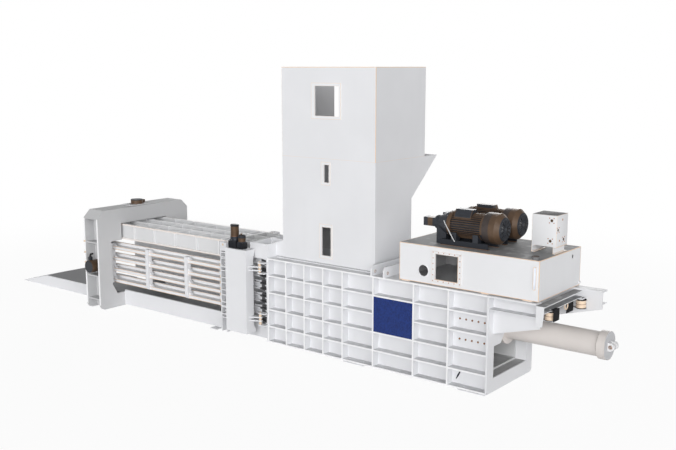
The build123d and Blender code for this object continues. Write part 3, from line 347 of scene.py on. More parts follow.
def box_edges(
    low: Point, high: Point, strong: Line, faint: Line,
    first_lit: Sequence[float], second_lit: Sequence[float],
) -> tuple[EdgeRun, ...]:
    """All twelve edges of a box as edge runs.

    Args:
        low, high: The box's corners.
        strong, faint: Width and strength of the lit and of the other edges.
        first_lit, second_lit: Where a run's first or second plane makes it a lit edge.

    Returns:
        The runs.
    """
    runs = []
    for first, second in ((Axis.X, Axis.Y), (Axis.Y, Axis.Z), (Axis.X, Axis.Z)):
        for a in (low[first.value], high[first.value]):
            for b in (low[second.value], high[second.value]):
                line = strong if a in first_lit or b in second_lit else faint
                runs.append(EdgeRun(first, a, second, b, *line))
    return tuple(runs)


def runs_round(
    face: float, level: Line, upright: Line, styles: Sequence[Line], past: float
) -> list[EdgeRun]:
    """The edges of an opening in a face that looks along Y, as edge runs.

    Args:
        face: The face's place along Y.
        level, upright: The opening's two ends along X and along Z.
        styles: Width and strength of the left, right, bottom and top edge.
        past: How far the edges reach past the corners.

    Returns:
        The runs.
    """
    tall, wide = ((low - past, high + past) for low, high in (upright, level))
    sides = [(Axis.X, x, tall) for x in level] + [(Axis.Z, z, wide) for z in upright]
    return [
        EdgeRun(axis, place, Axis.Y, face, *style, span)
        for (axis, place, span), style in zip(sides, styles)
    ]


@dataclass(frozen=True)
class Region:
    """A box in the machine's frame whose inside has another paint."""

    low: Point
    high: Point
    paint: Paint

    def mask(self, bench: NodeBench) -> Shade:
        """1 inside the box."""
        result: Value = 1.0
        for coordinate, low, high in zip(bench.place(), self.low, self.high):
            inside = (coordinate > low) * (coordinate < high)
            result = inside * result
        return result


def side_highlights(
    box: Corners, paint: Paint = Paint.RIM_HIGHLIGHT, past: float = 0.01, skin: float = 0.002
) -> tuple[Region, Region]:
    """Two regions of painted highlight on the outermost faces on a node's near and far side.

    Args:
        box: The node's corners.
        paint: The painted highlight's paint.
        past: How far the regions reach past the box.
        skin: How deep they reach into it.

    Returns:
        The near and the far region.
    """
    low = [part - past for part in box[0]]
    high = [part + past for part in box[1]]
    near, far = box[0][1] + skin, box[1][1] - skin
    return (
        Region(tuple(low), (high[0], near, high[2]), paint),
        Region((low[0], far, low[2]), tuple(high), paint),
    )


@dataclass(frozen=True)
class Recipe:
    """A finish that can be made into a material."""

    name: str

    def make(self) -> Material:
        """Builds the material."""
        raise NotImplementedError


Finish = Union[Recipe, Material]


def made(finish: Finish) -> Material:
    """A finish's material, made first if it is still a recipe."""
    return finish.make() if isinstance(finish, Recipe) else finish


@dataclass(frozen=True)
class Cloud:
    """A noise: its scale and detail, the two values it is spread between, and its stretch."""

    scale: float
    detail: float = 3.0
    span: Line | None = None
    stretch: Point = (1, 1, 1)

    def shade(self, bench: NodeBench) -> Shade:
        """The noise, from 0 to 1."""
        noise = bench.noise(self.scale, self.detail, self.stretch)
        return noise.spread(*self.span) if self.span else noise


@dataclass(frozen=True)
class Grain:
    """A fine relief: its noise, its depth and strength, and what it does to the roughness.

    The rough pair is what is added where the noise is 1, and what is added everywhere.
    """

    noise: Cloud
    depth: float
    strength: float
    rough: Line

    def seal(self, bench: NodeBench, colour, roughness: Value, **values) -> Material:
        """Closes a material with this relief.

        Args:
            bench: The material's bench.
            colour: Its colour, as a colour or a socket.
            roughness: Its roughness without the grain.
            values: Other inputs of the shader.

        Returns:
            The material.
        """
        grain = self.noise.shade(bench)
        rough = grain * self.rough[0] + (roughness + self.rough[1])
        normal = bench.bump(grain, self.depth, self.strength)
        return bench.surface(Base_Color=colour, Roughness=rough, Normal=normal, **values)


@dataclass(frozen=True)
class SprayPaint(Recipe):
    """Sprayed enamel on welded plate: clouded, a little uneven, and darker where it looks up.

    Faces that look up get dust and painted shade: one share says how much, and a tint how dark it
    leaves the paint.
    """

    paint: Paint
    roughness: float = 0.55
    dust_and_shade: float = 0.35
    dust_and_shade_tint: float = 0.42
    edges: tuple[EdgeRun, ...] = ()
    regions: tuple[Region, ...] = ()
    clouds: ClassVar[Cloud] = Cloud(0.9, 4.0, (0.35, 0.7))
    runs: ClassVar[Cloud] = Cloud(3.0, 5.0, (0.55, 0.8), (1, 1, 0.12))
    specks: ClassVar[Cloud] = Cloud(6.0, 4.0, (0.2, 0.75))
    upward: ClassVar[Line] = (0.6, 0.95)
    wear: ClassVar[Cloud] = Cloud(14.0, 2.0, (0.25, 0.5))
    gloss: ClassVar[Cloud] = Cloud(22.0)
    peel: ClassVar[Cloud] = Cloud(260.0, 2.0)
    waves: ClassVar[Cloud] = Cloud(5.0, 2.0)

    def make(self) -> Material:
        """Builds the material."""
        bench = NodeBench(self.name)
        base = self.paint.value
        colour = bench.blend(self.clouds.shade(bench) * 0.5, base, tinted(base, 0.93))
        colour = bench.blend(self.runs.shade(bench) * 0.10, colour, tinted(base, 0.8))
        # painted shade: faces that look up are darkened, partly as dust and partly as the shade
        # that tops are in under these lamps
        up = bench.facing()[2].spread(*self.upward)
        dust_and_top_shade = up * self.specks.shade(bench) * self.dust_and_shade + up * (0.6 * self.dust_and_shade)
        colour = bench.blend(dust_and_top_shade, colour, tinted(base, self.dust_and_shade_tint, 0.02))
        for region in self.regions:
            colour = bench.blend(region.mask(bench), colour, region.paint.value)
        if self.edges:
            total = self.edges[0].mask(bench)
            for run in self.edges[1:]:
                total = total.top(run.mask(bench))
            worn = self.wear.shade(bench) * 0.35 + 0.65
            colour = bench.blend(total * worn, colour, Paint.PRIMER.value)
        rough = self.gloss.shade(bench) * 0.12 + (self.roughness - 0.06)
        relief = self.peel.shade(bench) * 0.4 + self.waves.shade(bench)
        normal = bench.bump(relief, 0.0012, 0.25)
        return bench.surface(
            Base_Color=colour, Roughness=rough, Normal=normal, Specular_IOR_Level=0.3
        )


@dataclass(frozen=True)
class HammerPaint(Recipe):
    """Hammered enamel with a pressed leather-like relief, on the service panel."""

    paint: Paint
    cell_scale: ClassVar[float] = 34.0
    cell_span: ClassVar[Line] = (0.1, 0.8)
    vein: ClassVar[Cloud] = Cloud(30.0, 4.0, None, (1.6, 1, 0.8))
    vein_span: ClassVar[Line] = (0.35, 0.65)
    tints: ClassVar[Line] = (0.78, 1.45)

    def make(self) -> Material:
        """Builds the material."""
        bench = NodeBench(self.name)
        dents = bench.cells(self.cell_scale)
        veins = self.vein.shade(bench)
        dark, light = (tinted(self.paint.value, tint) for tint in self.tints)
        tone = dents.spread(*self.cell_span) * 0.6 + veins.spread(*self.vein_span) * 0.4
        colour = bench.blend(tone, dark, light)
        normal = bench.bump(dents * 0.7 + veins * 0.6, 0.006, 0.5)
        rough = dents * 0.15 + 0.42
        return bench.surface(
            Base_Color=colour, Roughness=rough, Normal=normal, Specular_IOR_Level=0.3
        )


@dataclass(frozen=True)
class TurnedSteel(Recipe):
    """Ground or turned steel with fine marks, oiled."""

    paint: Paint = Paint.STEEL
    roughness: float = 0.25
    along: Axis = Axis.X
    metallic: float = 1.0
    oil: ClassVar[Cloud] = Cloud(5.0, 3.0, (0.3, 0.7))
    mark_scale: ClassVar[float] = 8.0
    across_marks: ClassVar[float] = 60.0
    along_marks: ClassVar[float] = 2.0

    def make(self) -> Material:
        """Builds the material."""
        bench = NodeBench(self.name)
        stretch = [self.across_marks] * 3
        stretch[self.along.value] = self.along_marks
        marks = Grain(Cloud(self.mark_scale, 3.0, None, tuple(stretch)), 0.0004, 0.4, (0.16, -0.08))
        film = self.oil.shade(bench)
        colour = bench.blend(film * 0.6, self.paint.value, tinted(self.paint.value, 0.72))
        return marks.seal(bench, colour, film * 0.08 + self.roughness, Metallic=self.metallic)


@dataclass(frozen=True)
class Casting(Recipe):
    """Painted casting with a sandy skin, rubbed lighter on its crests."""

    paint: Paint
    roughness: float = 0.5
    metallic: float = 0.25
    rub: ClassVar[Cloud] = Cloud(7.0, 4.0, (0.35, 0.7))
    sand: ClassVar[Grain] = Grain(Cloud(140.0), 0.0015, 0.35, (0.16, -0.08))

    def make(self) -> Material:
        """Builds the material."""
        bench = NodeBench(self.name)
        base = self.paint.value
        colour = bench.blend(self.rub.shade(bench) * 0.7, base, tinted(base, 1.5, 0.006))
        return self.sand.seal(
            bench, colour, self.roughness, Metallic=self.metallic, Specular_IOR_Level=0.3
        )


@dataclass(frozen=True)
class TwoTone(Recipe):
    """Casting enamel, slate where the zones give 0 and bronze where they give 1.

    The rubs are how much lighter the bronze and the slate get where they are rubbed.
    """

    zones: Callable[[NodeBench], Shade]
    rubs: Line = (1.6, 1.7)
    rub_scale: float = 9.0
    sand_scale: float = 120.0
    roughness: ClassVar[float] = 0.4
    metallic: ClassVar[float] = 0.2

    def make(self) -> Material:
        """Builds the material."""
        bench = NodeBench(self.name)
        rub = Cloud(self.rub_scale, 4.0, (0.3, 0.7)).shade(bench)
        bronze, slate = (
            bench.blend(rub * share, paint.value, tinted(paint.value, tint))
            for share, paint, tint in zip((0.6, 0.5), (Paint.BRONZE, Paint.SLATE), self.rubs)
        )
        colour = bench.blend(self.zones(bench), slate, bronze)
        sand = Grain(Cloud(self.sand_scale), 0.001, 0.3, (0.15, 0.0))
        return sand.seal(bench, colour, self.roughness, Metallic=self.metallic)


@dataclass(frozen=True)
class Rubbery(Recipe):
    """Moulded black plastic or rubber, or the gauge's glass."""

    paint: Paint = Paint.RUBBER
    roughness: float = 0.6
    film: ClassVar[Cloud] = Cloud(4.0, 3.0, (0.3, 0.7))
    skin: ClassVar[Grain] = Grain(Cloud(90.0), 0.0006, 0.3, (0.15, -0.07))

    def make(self) -> Material:
        """Builds the material."""
        bench = NodeBench(self.name)
        base = self.paint.value
        colour = bench.blend(self.film.shade(bench) * 0.5, base, tinted(base, 1.8))
        return self.skin.seal(bench, colour, self.roughness, Specular_IOR_Level=0.25)


class Finishes:
    """The shop's stock of finishes, each made once."""

    def __init__(self) -> None:
        """Makes the finishes that several sub-assemblies share."""
        self.white = SprayPaint("white_enamel", Paint.WHITE).make()
        self.lid_white = SprayPaint("lid_enamel", Paint.LID_WHITE, dust_and_shade=0.4).make()
        self.grey = SprayPaint("grey_enamel", Paint.GREY).make()
        # painted shade: the portal's ribs are painted grey for the shade they stand in
        self.portal_grey = SprayPaint("portal_enamel", Paint.PORTAL, dust_and_shade=0.3).make()
        self.steel = TurnedSteel("ground_steel").make()
        self.upright_steel = TurnedSteel("turned_steel", along=Axis.Z).make()
        self.copper = TurnedSteel("passivated_steel", Paint.COPPER, 0.34).make()
        self.pale_copper = TurnedSteel("zinc_copper", Paint.ZINC, 0.45, metallic=0.1).make()
        self.wire = TurnedSteel("grille_wire", Paint.WIRE, 0.5, metallic=0.3).make()
        self.copper_dark = TurnedSteel("bronzed_steel", Paint.BRONZED, 0.42, metallic=0.7).make()
        self.bronze = Casting("bronze_enamel", Paint.BRONZE).make()
        self.slate = Casting("slate_enamel", Paint.SLATE).make()
        self.black = Casting("black_casting", Paint.BLACK, 0.45).make()
        self.rubber = Rubbery("moulded_black").make()
        self.matt = Rubbery("matt_black", Paint.MATT, 0.9).make()
        self.primer = SprayPaint("peach_primer", Paint.PRIMER, dust_and_shade=0.1).make()


# Workshop


class Workshop:
    """Modelling steps by operator, each on a fresh primitive and ending at the origin."""

    SHARP = math.radians(40.0)
    ROUND_LIMIT = 1e-6

    @staticmethod
    def rest() -> None:
        """Leaves edit mode with nothing selected."""
        if bpy.context.object and bpy.context.object.mode != "OBJECT":
            bpy.ops.object.mode_set(mode="OBJECT")
        bpy.ops.object.select_all(action="DESELECT")

    @classmethod
    def pick(cls, *pieces: Piece) -> None:
        """Selects those pieces alone and makes the first the active one."""
        cls.rest()
        for piece in pieces:
            piece.select_set(True)
        bpy.context.view_layer.objects.active = pieces[0]

    @staticmethod
    def settle(name: str, place: Point | None = None, axis: Vector | None = None) -> Piece:
        """Stands the active object along an axis if one is given, and applies and names it."""
        if bpy.context.object.mode != "OBJECT":
            bpy.ops.object.mode_set(mode="OBJECT")
        obj = bpy.context.object
        if axis is not None:
            obj.rotation_euler = axis.to_track_quat("Z", "Y").to_euler()
            obj.location = place
        bpy.ops.object.transform_apply(location=True, rotation=True, scale=True)
        obj.name = obj.data.name = name
        return obj

    @classmethod
    def bevel_sharp(cls, edge: float, segments: int) -> None:
        """Rounds the active mesh's sharp edges, in edit mode."""
        if edge <= 0:
            return
        bpy.ops.mesh.select_mode(type="EDGE")
        bpy.ops.mesh.select_all(action="DESELECT")
        bpy.ops.mesh.edges_select_sharp(sharpness=cls.SHARP)
        bpy.ops.mesh.bevel(offset=edge, segments=segments, affect="EDGES", clamp_overlap=True)

    @classmethod
    def slab(
        cls, name: str, low: Point, high: Point, edge: float = 0.003, segments: int = 2
    ) -> Piece:
        """A plate or block with rounded edges between two corners."""
        cls.rest()
        centre = [(a + b) / 2 for a, b in zip(low, high)]
        bpy.ops.mesh.primitive_cube_add(size=1.0, location=centre)
        bpy.context.object.scale = [b - a for a, b in zip(low, high)]
        bpy.ops.object.transform_apply(location=False, rotation=False, scale=True)
        bpy.ops.object.mode_set(mode="EDIT")
        cls.bevel_sharp(edge, segments)
        return cls.settle(name)

    @classmethod
    def turned(
        cls, name: str, start: Point, axis: Vector, profile: Profile, sides: int = 40
    ) -> Piece:
        """A turned piece: a disc drawn out along an axis through steps of distance and radius.

        Args:
            name: The piece's name.
            start: Where the axis begins.
            axis: The axis's direction.
            profile: Steps of (distance along the axis, radius), the first being the base disc.
            sides: Corners round the piece.

        Returns:
            The piece.
        """
        cls.rest()
        reach, radius = profile[0]
        bpy.ops.mesh.primitive_circle_add(
            vertices=sides, radius=radius, fill_type="NGON", location=(0, 0, reach)
        )
        bpy.ops.object.transform_apply(location=True, rotation=False, scale=False)
        bpy.ops.object.mode_set(mode="EDIT")
        bpy.ops.mesh.select_mode(type="FACE")
        bpy.ops.mesh.select_all(action="SELECT")
        for next_reach, next_radius in profile[1:]:
            step = {"value": (0, 0, next_reach - reach)}
            bpy.ops.mesh.extrude_region_move(TRANSFORM_OT_translate=step)
            factor = next_radius / radius
            if abs(factor - 1) > cls.ROUND_LIMIT:
                centre = (0, 0, next_reach)
                bpy.ops.transform.resize(value=(factor, factor, 1), center_override=centre)
            reach, radius = next_reach, next_radius
        bpy.ops.mesh.select_all(action="SELECT")
        bpy.ops.mesh.normals_make_consistent(inside=False)
        return cls.settle(name, start, axis)

    @classmethod
    def hoop(
        cls, name: str, centre: Point, axis: Vector,
        radius: float, half: float, flat: float = 1.0, sides: int = 40,
    ) -> Piece:
        """A ring round an axis, its section drawn flat or tall along the axis."""
        cls.rest()
        bpy.ops.mesh.primitive_torus_add(
            major_radius=radius, minor_radius=half,
            major_segments=sides, minor_segments=8, location=(0, 0, 0),
        )
        bpy.ops.object.mode_set(mode="EDIT")
        bpy.ops.mesh.select_all(action="SELECT")
        bpy.ops.transform.resize(value=(1, 1, flat), center_override=(0, 0, 0))
        return cls.settle(name, centre, axis)

    @classmethod
    def bolt(
        cls, name: str, place: Point, axis: Vector, across: float, collar: float = 1.2
    ) -> Piece:
        """A hexagon head on its washer, standing on a face at that place."""
        half = across / 2
        wide = half * collar
        plate = [(0, wide), (half * 0.18, wide), (half * 0.25, wide * 0.93)]
        head = [(half * 0.2, half * 0.96), (half * 0.3, half), (half * 0.85, half)]
        head.append((half, half * 0.82))
        pieces = [
            cls.turned(name + "_washer", place, axis, plate, 20),
            cls.turned(name + "_head", place, axis, head, 6),
        ]
        return cls.join(name, pieces)

    @classmethod
    def join(cls, name: str, pieces: Sequence[Piece]) -> Piece:
        """Several meshes made one piece."""
        cls.pick(*pieces)
        if len(pieces) > 1:
            bpy.ops.object.join()
        obj = bpy.context.object
        obj.name = obj.data.name = name
        return obj

    @staticmethod
    def copied(piece: Piece, move: Matrix) -> Piece:
        """A copy with its own mesh, moved by the matrix."""
        copy = piece.copy()
        copy.data = piece.data.copy()
        copy.data.transform(move)
        bpy.context.scene.collection.objects.link(copy)
        return copy

    @classmethod
    def row(cls, name: str, piece: Piece, moves: Iterable[Point]) -> Piece:
        """The piece and its copies moved by each step, as one object."""
        copies = [cls.copied(piece, Matrix.Translation(move)) for move in moves]
        return cls.join(name, [piece, *copies])

    @classmethod
    def ring(cls, name: str, piece: Piece, centre: Point, axis: Axis, count: int) -> Piece:
        """The piece and its copies spaced evenly round an axis, as one object.

        Args:
            name: The ring's name.
            piece: The first piece, at its place.
            centre: A point on the axis.
            axis: The axis's direction.
            count: How many pieces the ring has.

        Returns:
            The ring.
        """
        there, back = Matrix.Translation(centre), Matrix.Translation([-part for part in centre])
        turns = [Matrix.Rotation(math.tau * k / count, 4, axis.vector()) for k in range(1, count)]
        return cls.join(name, [piece, *(cls.copied(piece, there @ turn @ back) for turn in turns)])

    @classmethod
    def mirrored(cls, name: str, piece: Piece) -> Piece:
        """A copy of the piece on the other side of the machine's centre plane."""
        copy = cls.copied(piece, Matrix.Scale(-1, 4, Axis.Y.vector()))
        cls.pick(copy)
        bpy.ops.object.mode_set(mode="EDIT")
        bpy.ops.mesh.select_all(action="SELECT")
        bpy.ops.mesh.flip_normals()
        return cls.settle(name)

    @classmethod
    def pipe(cls, name: str, points: Sequence[Point], radius: float) -> Piece:
        """A bent steel pipe through those corners."""
        curve = bpy.data.curves.new(name, "CURVE")
        curve.dimensions = "3D"
        curve.bevel_depth = radius
        curve.bevel_resolution = 5
        curve.resolution_u = 10
        curve.use_fill_caps = True
        spline = curve.splines.new("NURBS")
        spline.points.add(len(points) - 1)
        for knot, point in zip(spline.points, points):
            knot.co = (*point, 1.0)
        spline.order_u = 3
        spline.use_endpoint_u = True
        obj = bpy.data.objects.new(name, curve)
        bpy.context.scene.collection.objects.link(obj)
        cls.pick(obj)
        bpy.ops.object.convert(target="MESH")
        return cls.settle(name)


# Sub-assemblies


@dataclass
class Assembly:
    """What every sub-assembly does with its pieces and nodes."""

    title: ClassVar[str] = "assembly"
    smooth: ClassVar[float] = math.radians(35.0)
    stock: Finishes

    def keep(self, piece: Piece, finish: Finish, slot: str, body: str = "frame") -> Piece:
        """Gives a piece its finish and body.

        Args:
            piece: The finished mesh.
            finish: Its material, or the recipe for it.
            slot: The record's material slot; not used.
            body: The CAD body that it rides on.

        Returns:
            The piece.
        """
        Workshop.pick(piece)
        bpy.ops.object.shade_smooth_by_angle(angle=self.smooth)
        piece.data.materials.clear()
        piece.data.materials.append(made(finish))
        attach(piece, body)
        LOG.info("%s: %s on %s, %d faces", self.title, piece.name, body, len(piece.data.polygons))
        return piece

    def keep_both(self, near: Piece, finish: Finish, slot: str) -> None:
        """Keeps a near piece and its mirror image on the far side."""
        self.keep(near, finish, slot)
        self.keep(Workshop.mirrored(near.name.replace("_near", "_far"), near), finish, slot)

    def dress(self, finish: Finish, *nodes: str) -> None:
        """Gives CAD nodes their finish."""
        material = made(finish)
        for name in nodes:
            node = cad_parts[name]
            for place in node.material_slots:
                place.material = material
            if not node.material_slots:
                node.data.materials.append(material)
            LOG.info("%s: %s dressed", self.title, name)

    def bushes(self, name: str, places: Sequence[Point], axis: Vector, radius: float) -> None:
        """Bronzed bushes at those places, as one piece."""
        rings = [Workshop.hoop(name, place, axis, radius, 0.0035, 0.6, 24) for place in places]
        self.keep(Workshop.join(name, rings), self.stock.copper, "pin")


@dataclass
class PressBox(Assembly):
    """The press box with its rib grid, service panel, deck and rear plate."""

    title: ClassVar[str] = "press box"
    chamber_shade: Corners = (at(-2164, -529, 216), at(2134, 529, 1499))
    step: Corners = (at(2126, -540, 120), at(2140, 540, 216))
    bolt_start: Point = at(1605, -570, 727)
    bolt_pitch: tuple[float, float] = (0.105, 0.313)
    bolt_count: int = 5
    bolt_across: float = 0.026
    seat: HoopSize = (0.025, 0.005, 0.6, 24)
    lip_ends: Corners = (at(1627, -573, 212), at(1559, -573, 88))
    lip_root: Profile = ((0, 0.004), (0.006, 0.010), (0.06, 0.014))
    screw_inset: float = 0.045
    screw: Profile = (
        (-0.002, 0.013), (0.002, 0.013), (0.004, 0.010), (0.004, 0.006), (0.0015, 0.005),
    )
    eye_level: Point = at(0, 630, 1563)
    eye_rows: tuple[float, float] = (0.060, 0.300)
    eye_half: float = 0.0155
    bush_radius: float = 0.0215

    def build(self) -> None:
        """Dresses the nodes and adds the bolts, the lip, the panel's screws and the bushes."""
        # painted shade inside the press chamber, and painted highlights on the ribs' outermost
        # faces
        regions = (Region(*self.chamber_shade, Paint.CHAMBER_SHADE), *side_highlights(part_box("press_sides")))
        self.dress(SprayPaint("press_enamel", Paint.WHITE, regions=regions), "press_sides")
        step = (Region(*self.step, Paint.STEP),)
        # painted shade: the press floor is painted a darker grey for the shade it lies in
        floor = SprayPaint("press_floor_enamel", Paint.FLOOR, 0.6, 0.2, regions=step)
        self.dress(floor, "press_floor")
        self.dress(self.stock.white, "press_top", "rear_plate", "foot_plates", "cross_plates")
        self.dress(HammerPaint("blue_hammer_enamel", Paint.BLUE), "side_access_panel")
        self.dress(self.stock.steel, "fixed_knife", "ram_knife", "ram_face_bars")
        self.dress(self.stock.grey, "ram_box")
        self.guide_bolts()
        self.lip()
        self.panel_screws()
        self.eye_bushes()

    def guide_bolts(self) -> None:
        """Two rows of bolts that hold the ram's guides, on both sides, on turned seats."""
        step, rise = self.bolt_pitch
        spots = [(k, row) for row in (0, 1) for k in range(self.bolt_count)]
        moves = [(step * k, 0, rise * row) for k, row in spots[1:]]
        bolt = Workshop.bolt("guide_bolts", self.bolt_start, NEARWARD, self.bolt_across)
        bolts = Workshop.row("guide_bolts_near", bolt, moves)
        self.keep_both(bolts, self.stock.copper_dark, "pin")
        seat = Workshop.hoop("bolt_seats", self.bolt_start, NEARWARD, *self.seat)
        seats = Workshop.row("bolt_seats_near", seat, moves)
        self.keep_both(seats, self.stock.lid_white, "body")

    def lip(self) -> None:
        """The slanting lip welded in the last bay, painted dark slate so that it also stands for
        the shadow wedge there.
        """
        start, end = (Vector(point) for point in self.lip_ends)
        length = (end - start).length
        profile = [*self.lip_root, (length - 0.01, 0.007), (length, 0.003)]
        lip = Workshop.turned("lip_and_shadow_wedge", tuple(start), end - start, profile, 10)
        self.keep(lip, self.stock.slate, "dark_paint")

    def panel_screws(self) -> None:
        """Countersunk screws in the service panel's corners and edges."""
        low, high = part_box("side_access_panel")
        xs, zs = (spaced(low[k] + self.screw_inset, high[k] - self.screw_inset, 3) for k in (0, 2))
        places = [(x, low[1], z) for x in xs for z in zs]
        del places[len(places) // 2]
        first = Workshop.turned("panel_screws", places[0], NEARWARD, self.screw, 16)
        screws = Workshop.row("panel_screws", first, steps_from(places))
        self.keep(screws, HammerPaint("blue_screw_enamel", Paint.BLUE), "blue_paint")

    def eye_bushes(self) -> None:
        """Bushes on both faces of the cross plates' lifting eyes."""
        _, reach, z = self.eye_level
        self.bushes(
            "eye_bushes",
            [
                (x + self.eye_half * face, reach * side, z)
                for x in self.eye_rows for side in (-1, 1) for face in (-1, 1)
            ],
            BACKWARD, self.bush_radius,
        )


@dataclass
class Hopper(Assembly):
    """The hopper tower with its windows.

    A window is its opening's two ends along X and along Z, and its frame's widths along X and Z.
    """

    title: ClassVar[str] = "hopper"
    back: float = 1.33
    windows: tuple[tuple[Line, Line, Line], ...] = (
        ((-1.275, -0.772), (3.978, 4.463), (0.078, 0.050)),
        ((-1.086, -0.985), (2.891, 3.183), (0.062, 0.046)),
        ((-1.134, -0.943), (1.660, 2.141), (0.056, 0.050)),
    )
    outer_line: Line = (0.007, 0.55)
    inner_line: Line = (0.007, 0.3)
    line_past: float = 0.006
    right_line: Line = (0.010, 1.0)
    left_line: Line = (0.008, 0.25)
    top_line: Line = (0.011, 1.0)
    bottom_line: Line = (0.007, 0.35)
    skin: float = 0.002
    roof: float = 0.003
    inside_from: float = 1.5

    def build(self) -> None:
        """Dresses the shell, with primer at the upper part's cut edges and painted shade inside."""
        low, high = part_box("hopper_upper")
        front = low[1]
        edges = [
            EdgeRun(Axis.X, high[0], Axis.Y, front, *self.right_line),
            EdgeRun(Axis.X, low[0], Axis.Y, front, *self.left_line),
        ]
        for axis, place in ((Axis.Y, front), (Axis.X, low[0]), (Axis.X, high[0])):
            edges.append(EdgeRun(axis, place, Axis.Z, high[2], *self.top_line))
            edges.append(EdgeRun(axis, place, Axis.Z, low[2], *self.bottom_line))
        # painted shade: the shell's inside, seen through the windows, is painted grey for the shade
        # in it
        inner_low = (low[0] + self.skin, front + self.skin, self.inside_from)
        inner_high = (high[0] - self.skin, self.back, high[2] - self.roof)
        inside = (Region(inner_low, inner_high, Paint.INSIDE),)
        for part, runs in (("upper", tuple(edges)), ("lower", ())):
            name = f"{part}_hopper_enamel"
            shell = SprayPaint(name, Paint.WHITE, dust_and_shade=0.2, edges=runs, regions=inside)
            self.dress(shell, f"hopper_{part}")
        self.dress(self.stock.white, "hopper_base")
        face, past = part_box("window_frames")[0][1], self.line_past
        lines = []
        for (left, right), (bottom, top), (side, end) in self.windows:
            level, upright = (left - side, right + side / 2), (bottom - end, top + end)
            lines += runs_round(face, level, upright, [self.outer_line] * 4, past)
            lines += runs_round(face, (left, right), (bottom, top), [self.inner_line] * 4, past)
        frames = SprayPaint("window_enamel", Paint.LID_WHITE, dust_and_shade=0.1, edges=tuple(lines))
        self.dress(frames, "window_frames")


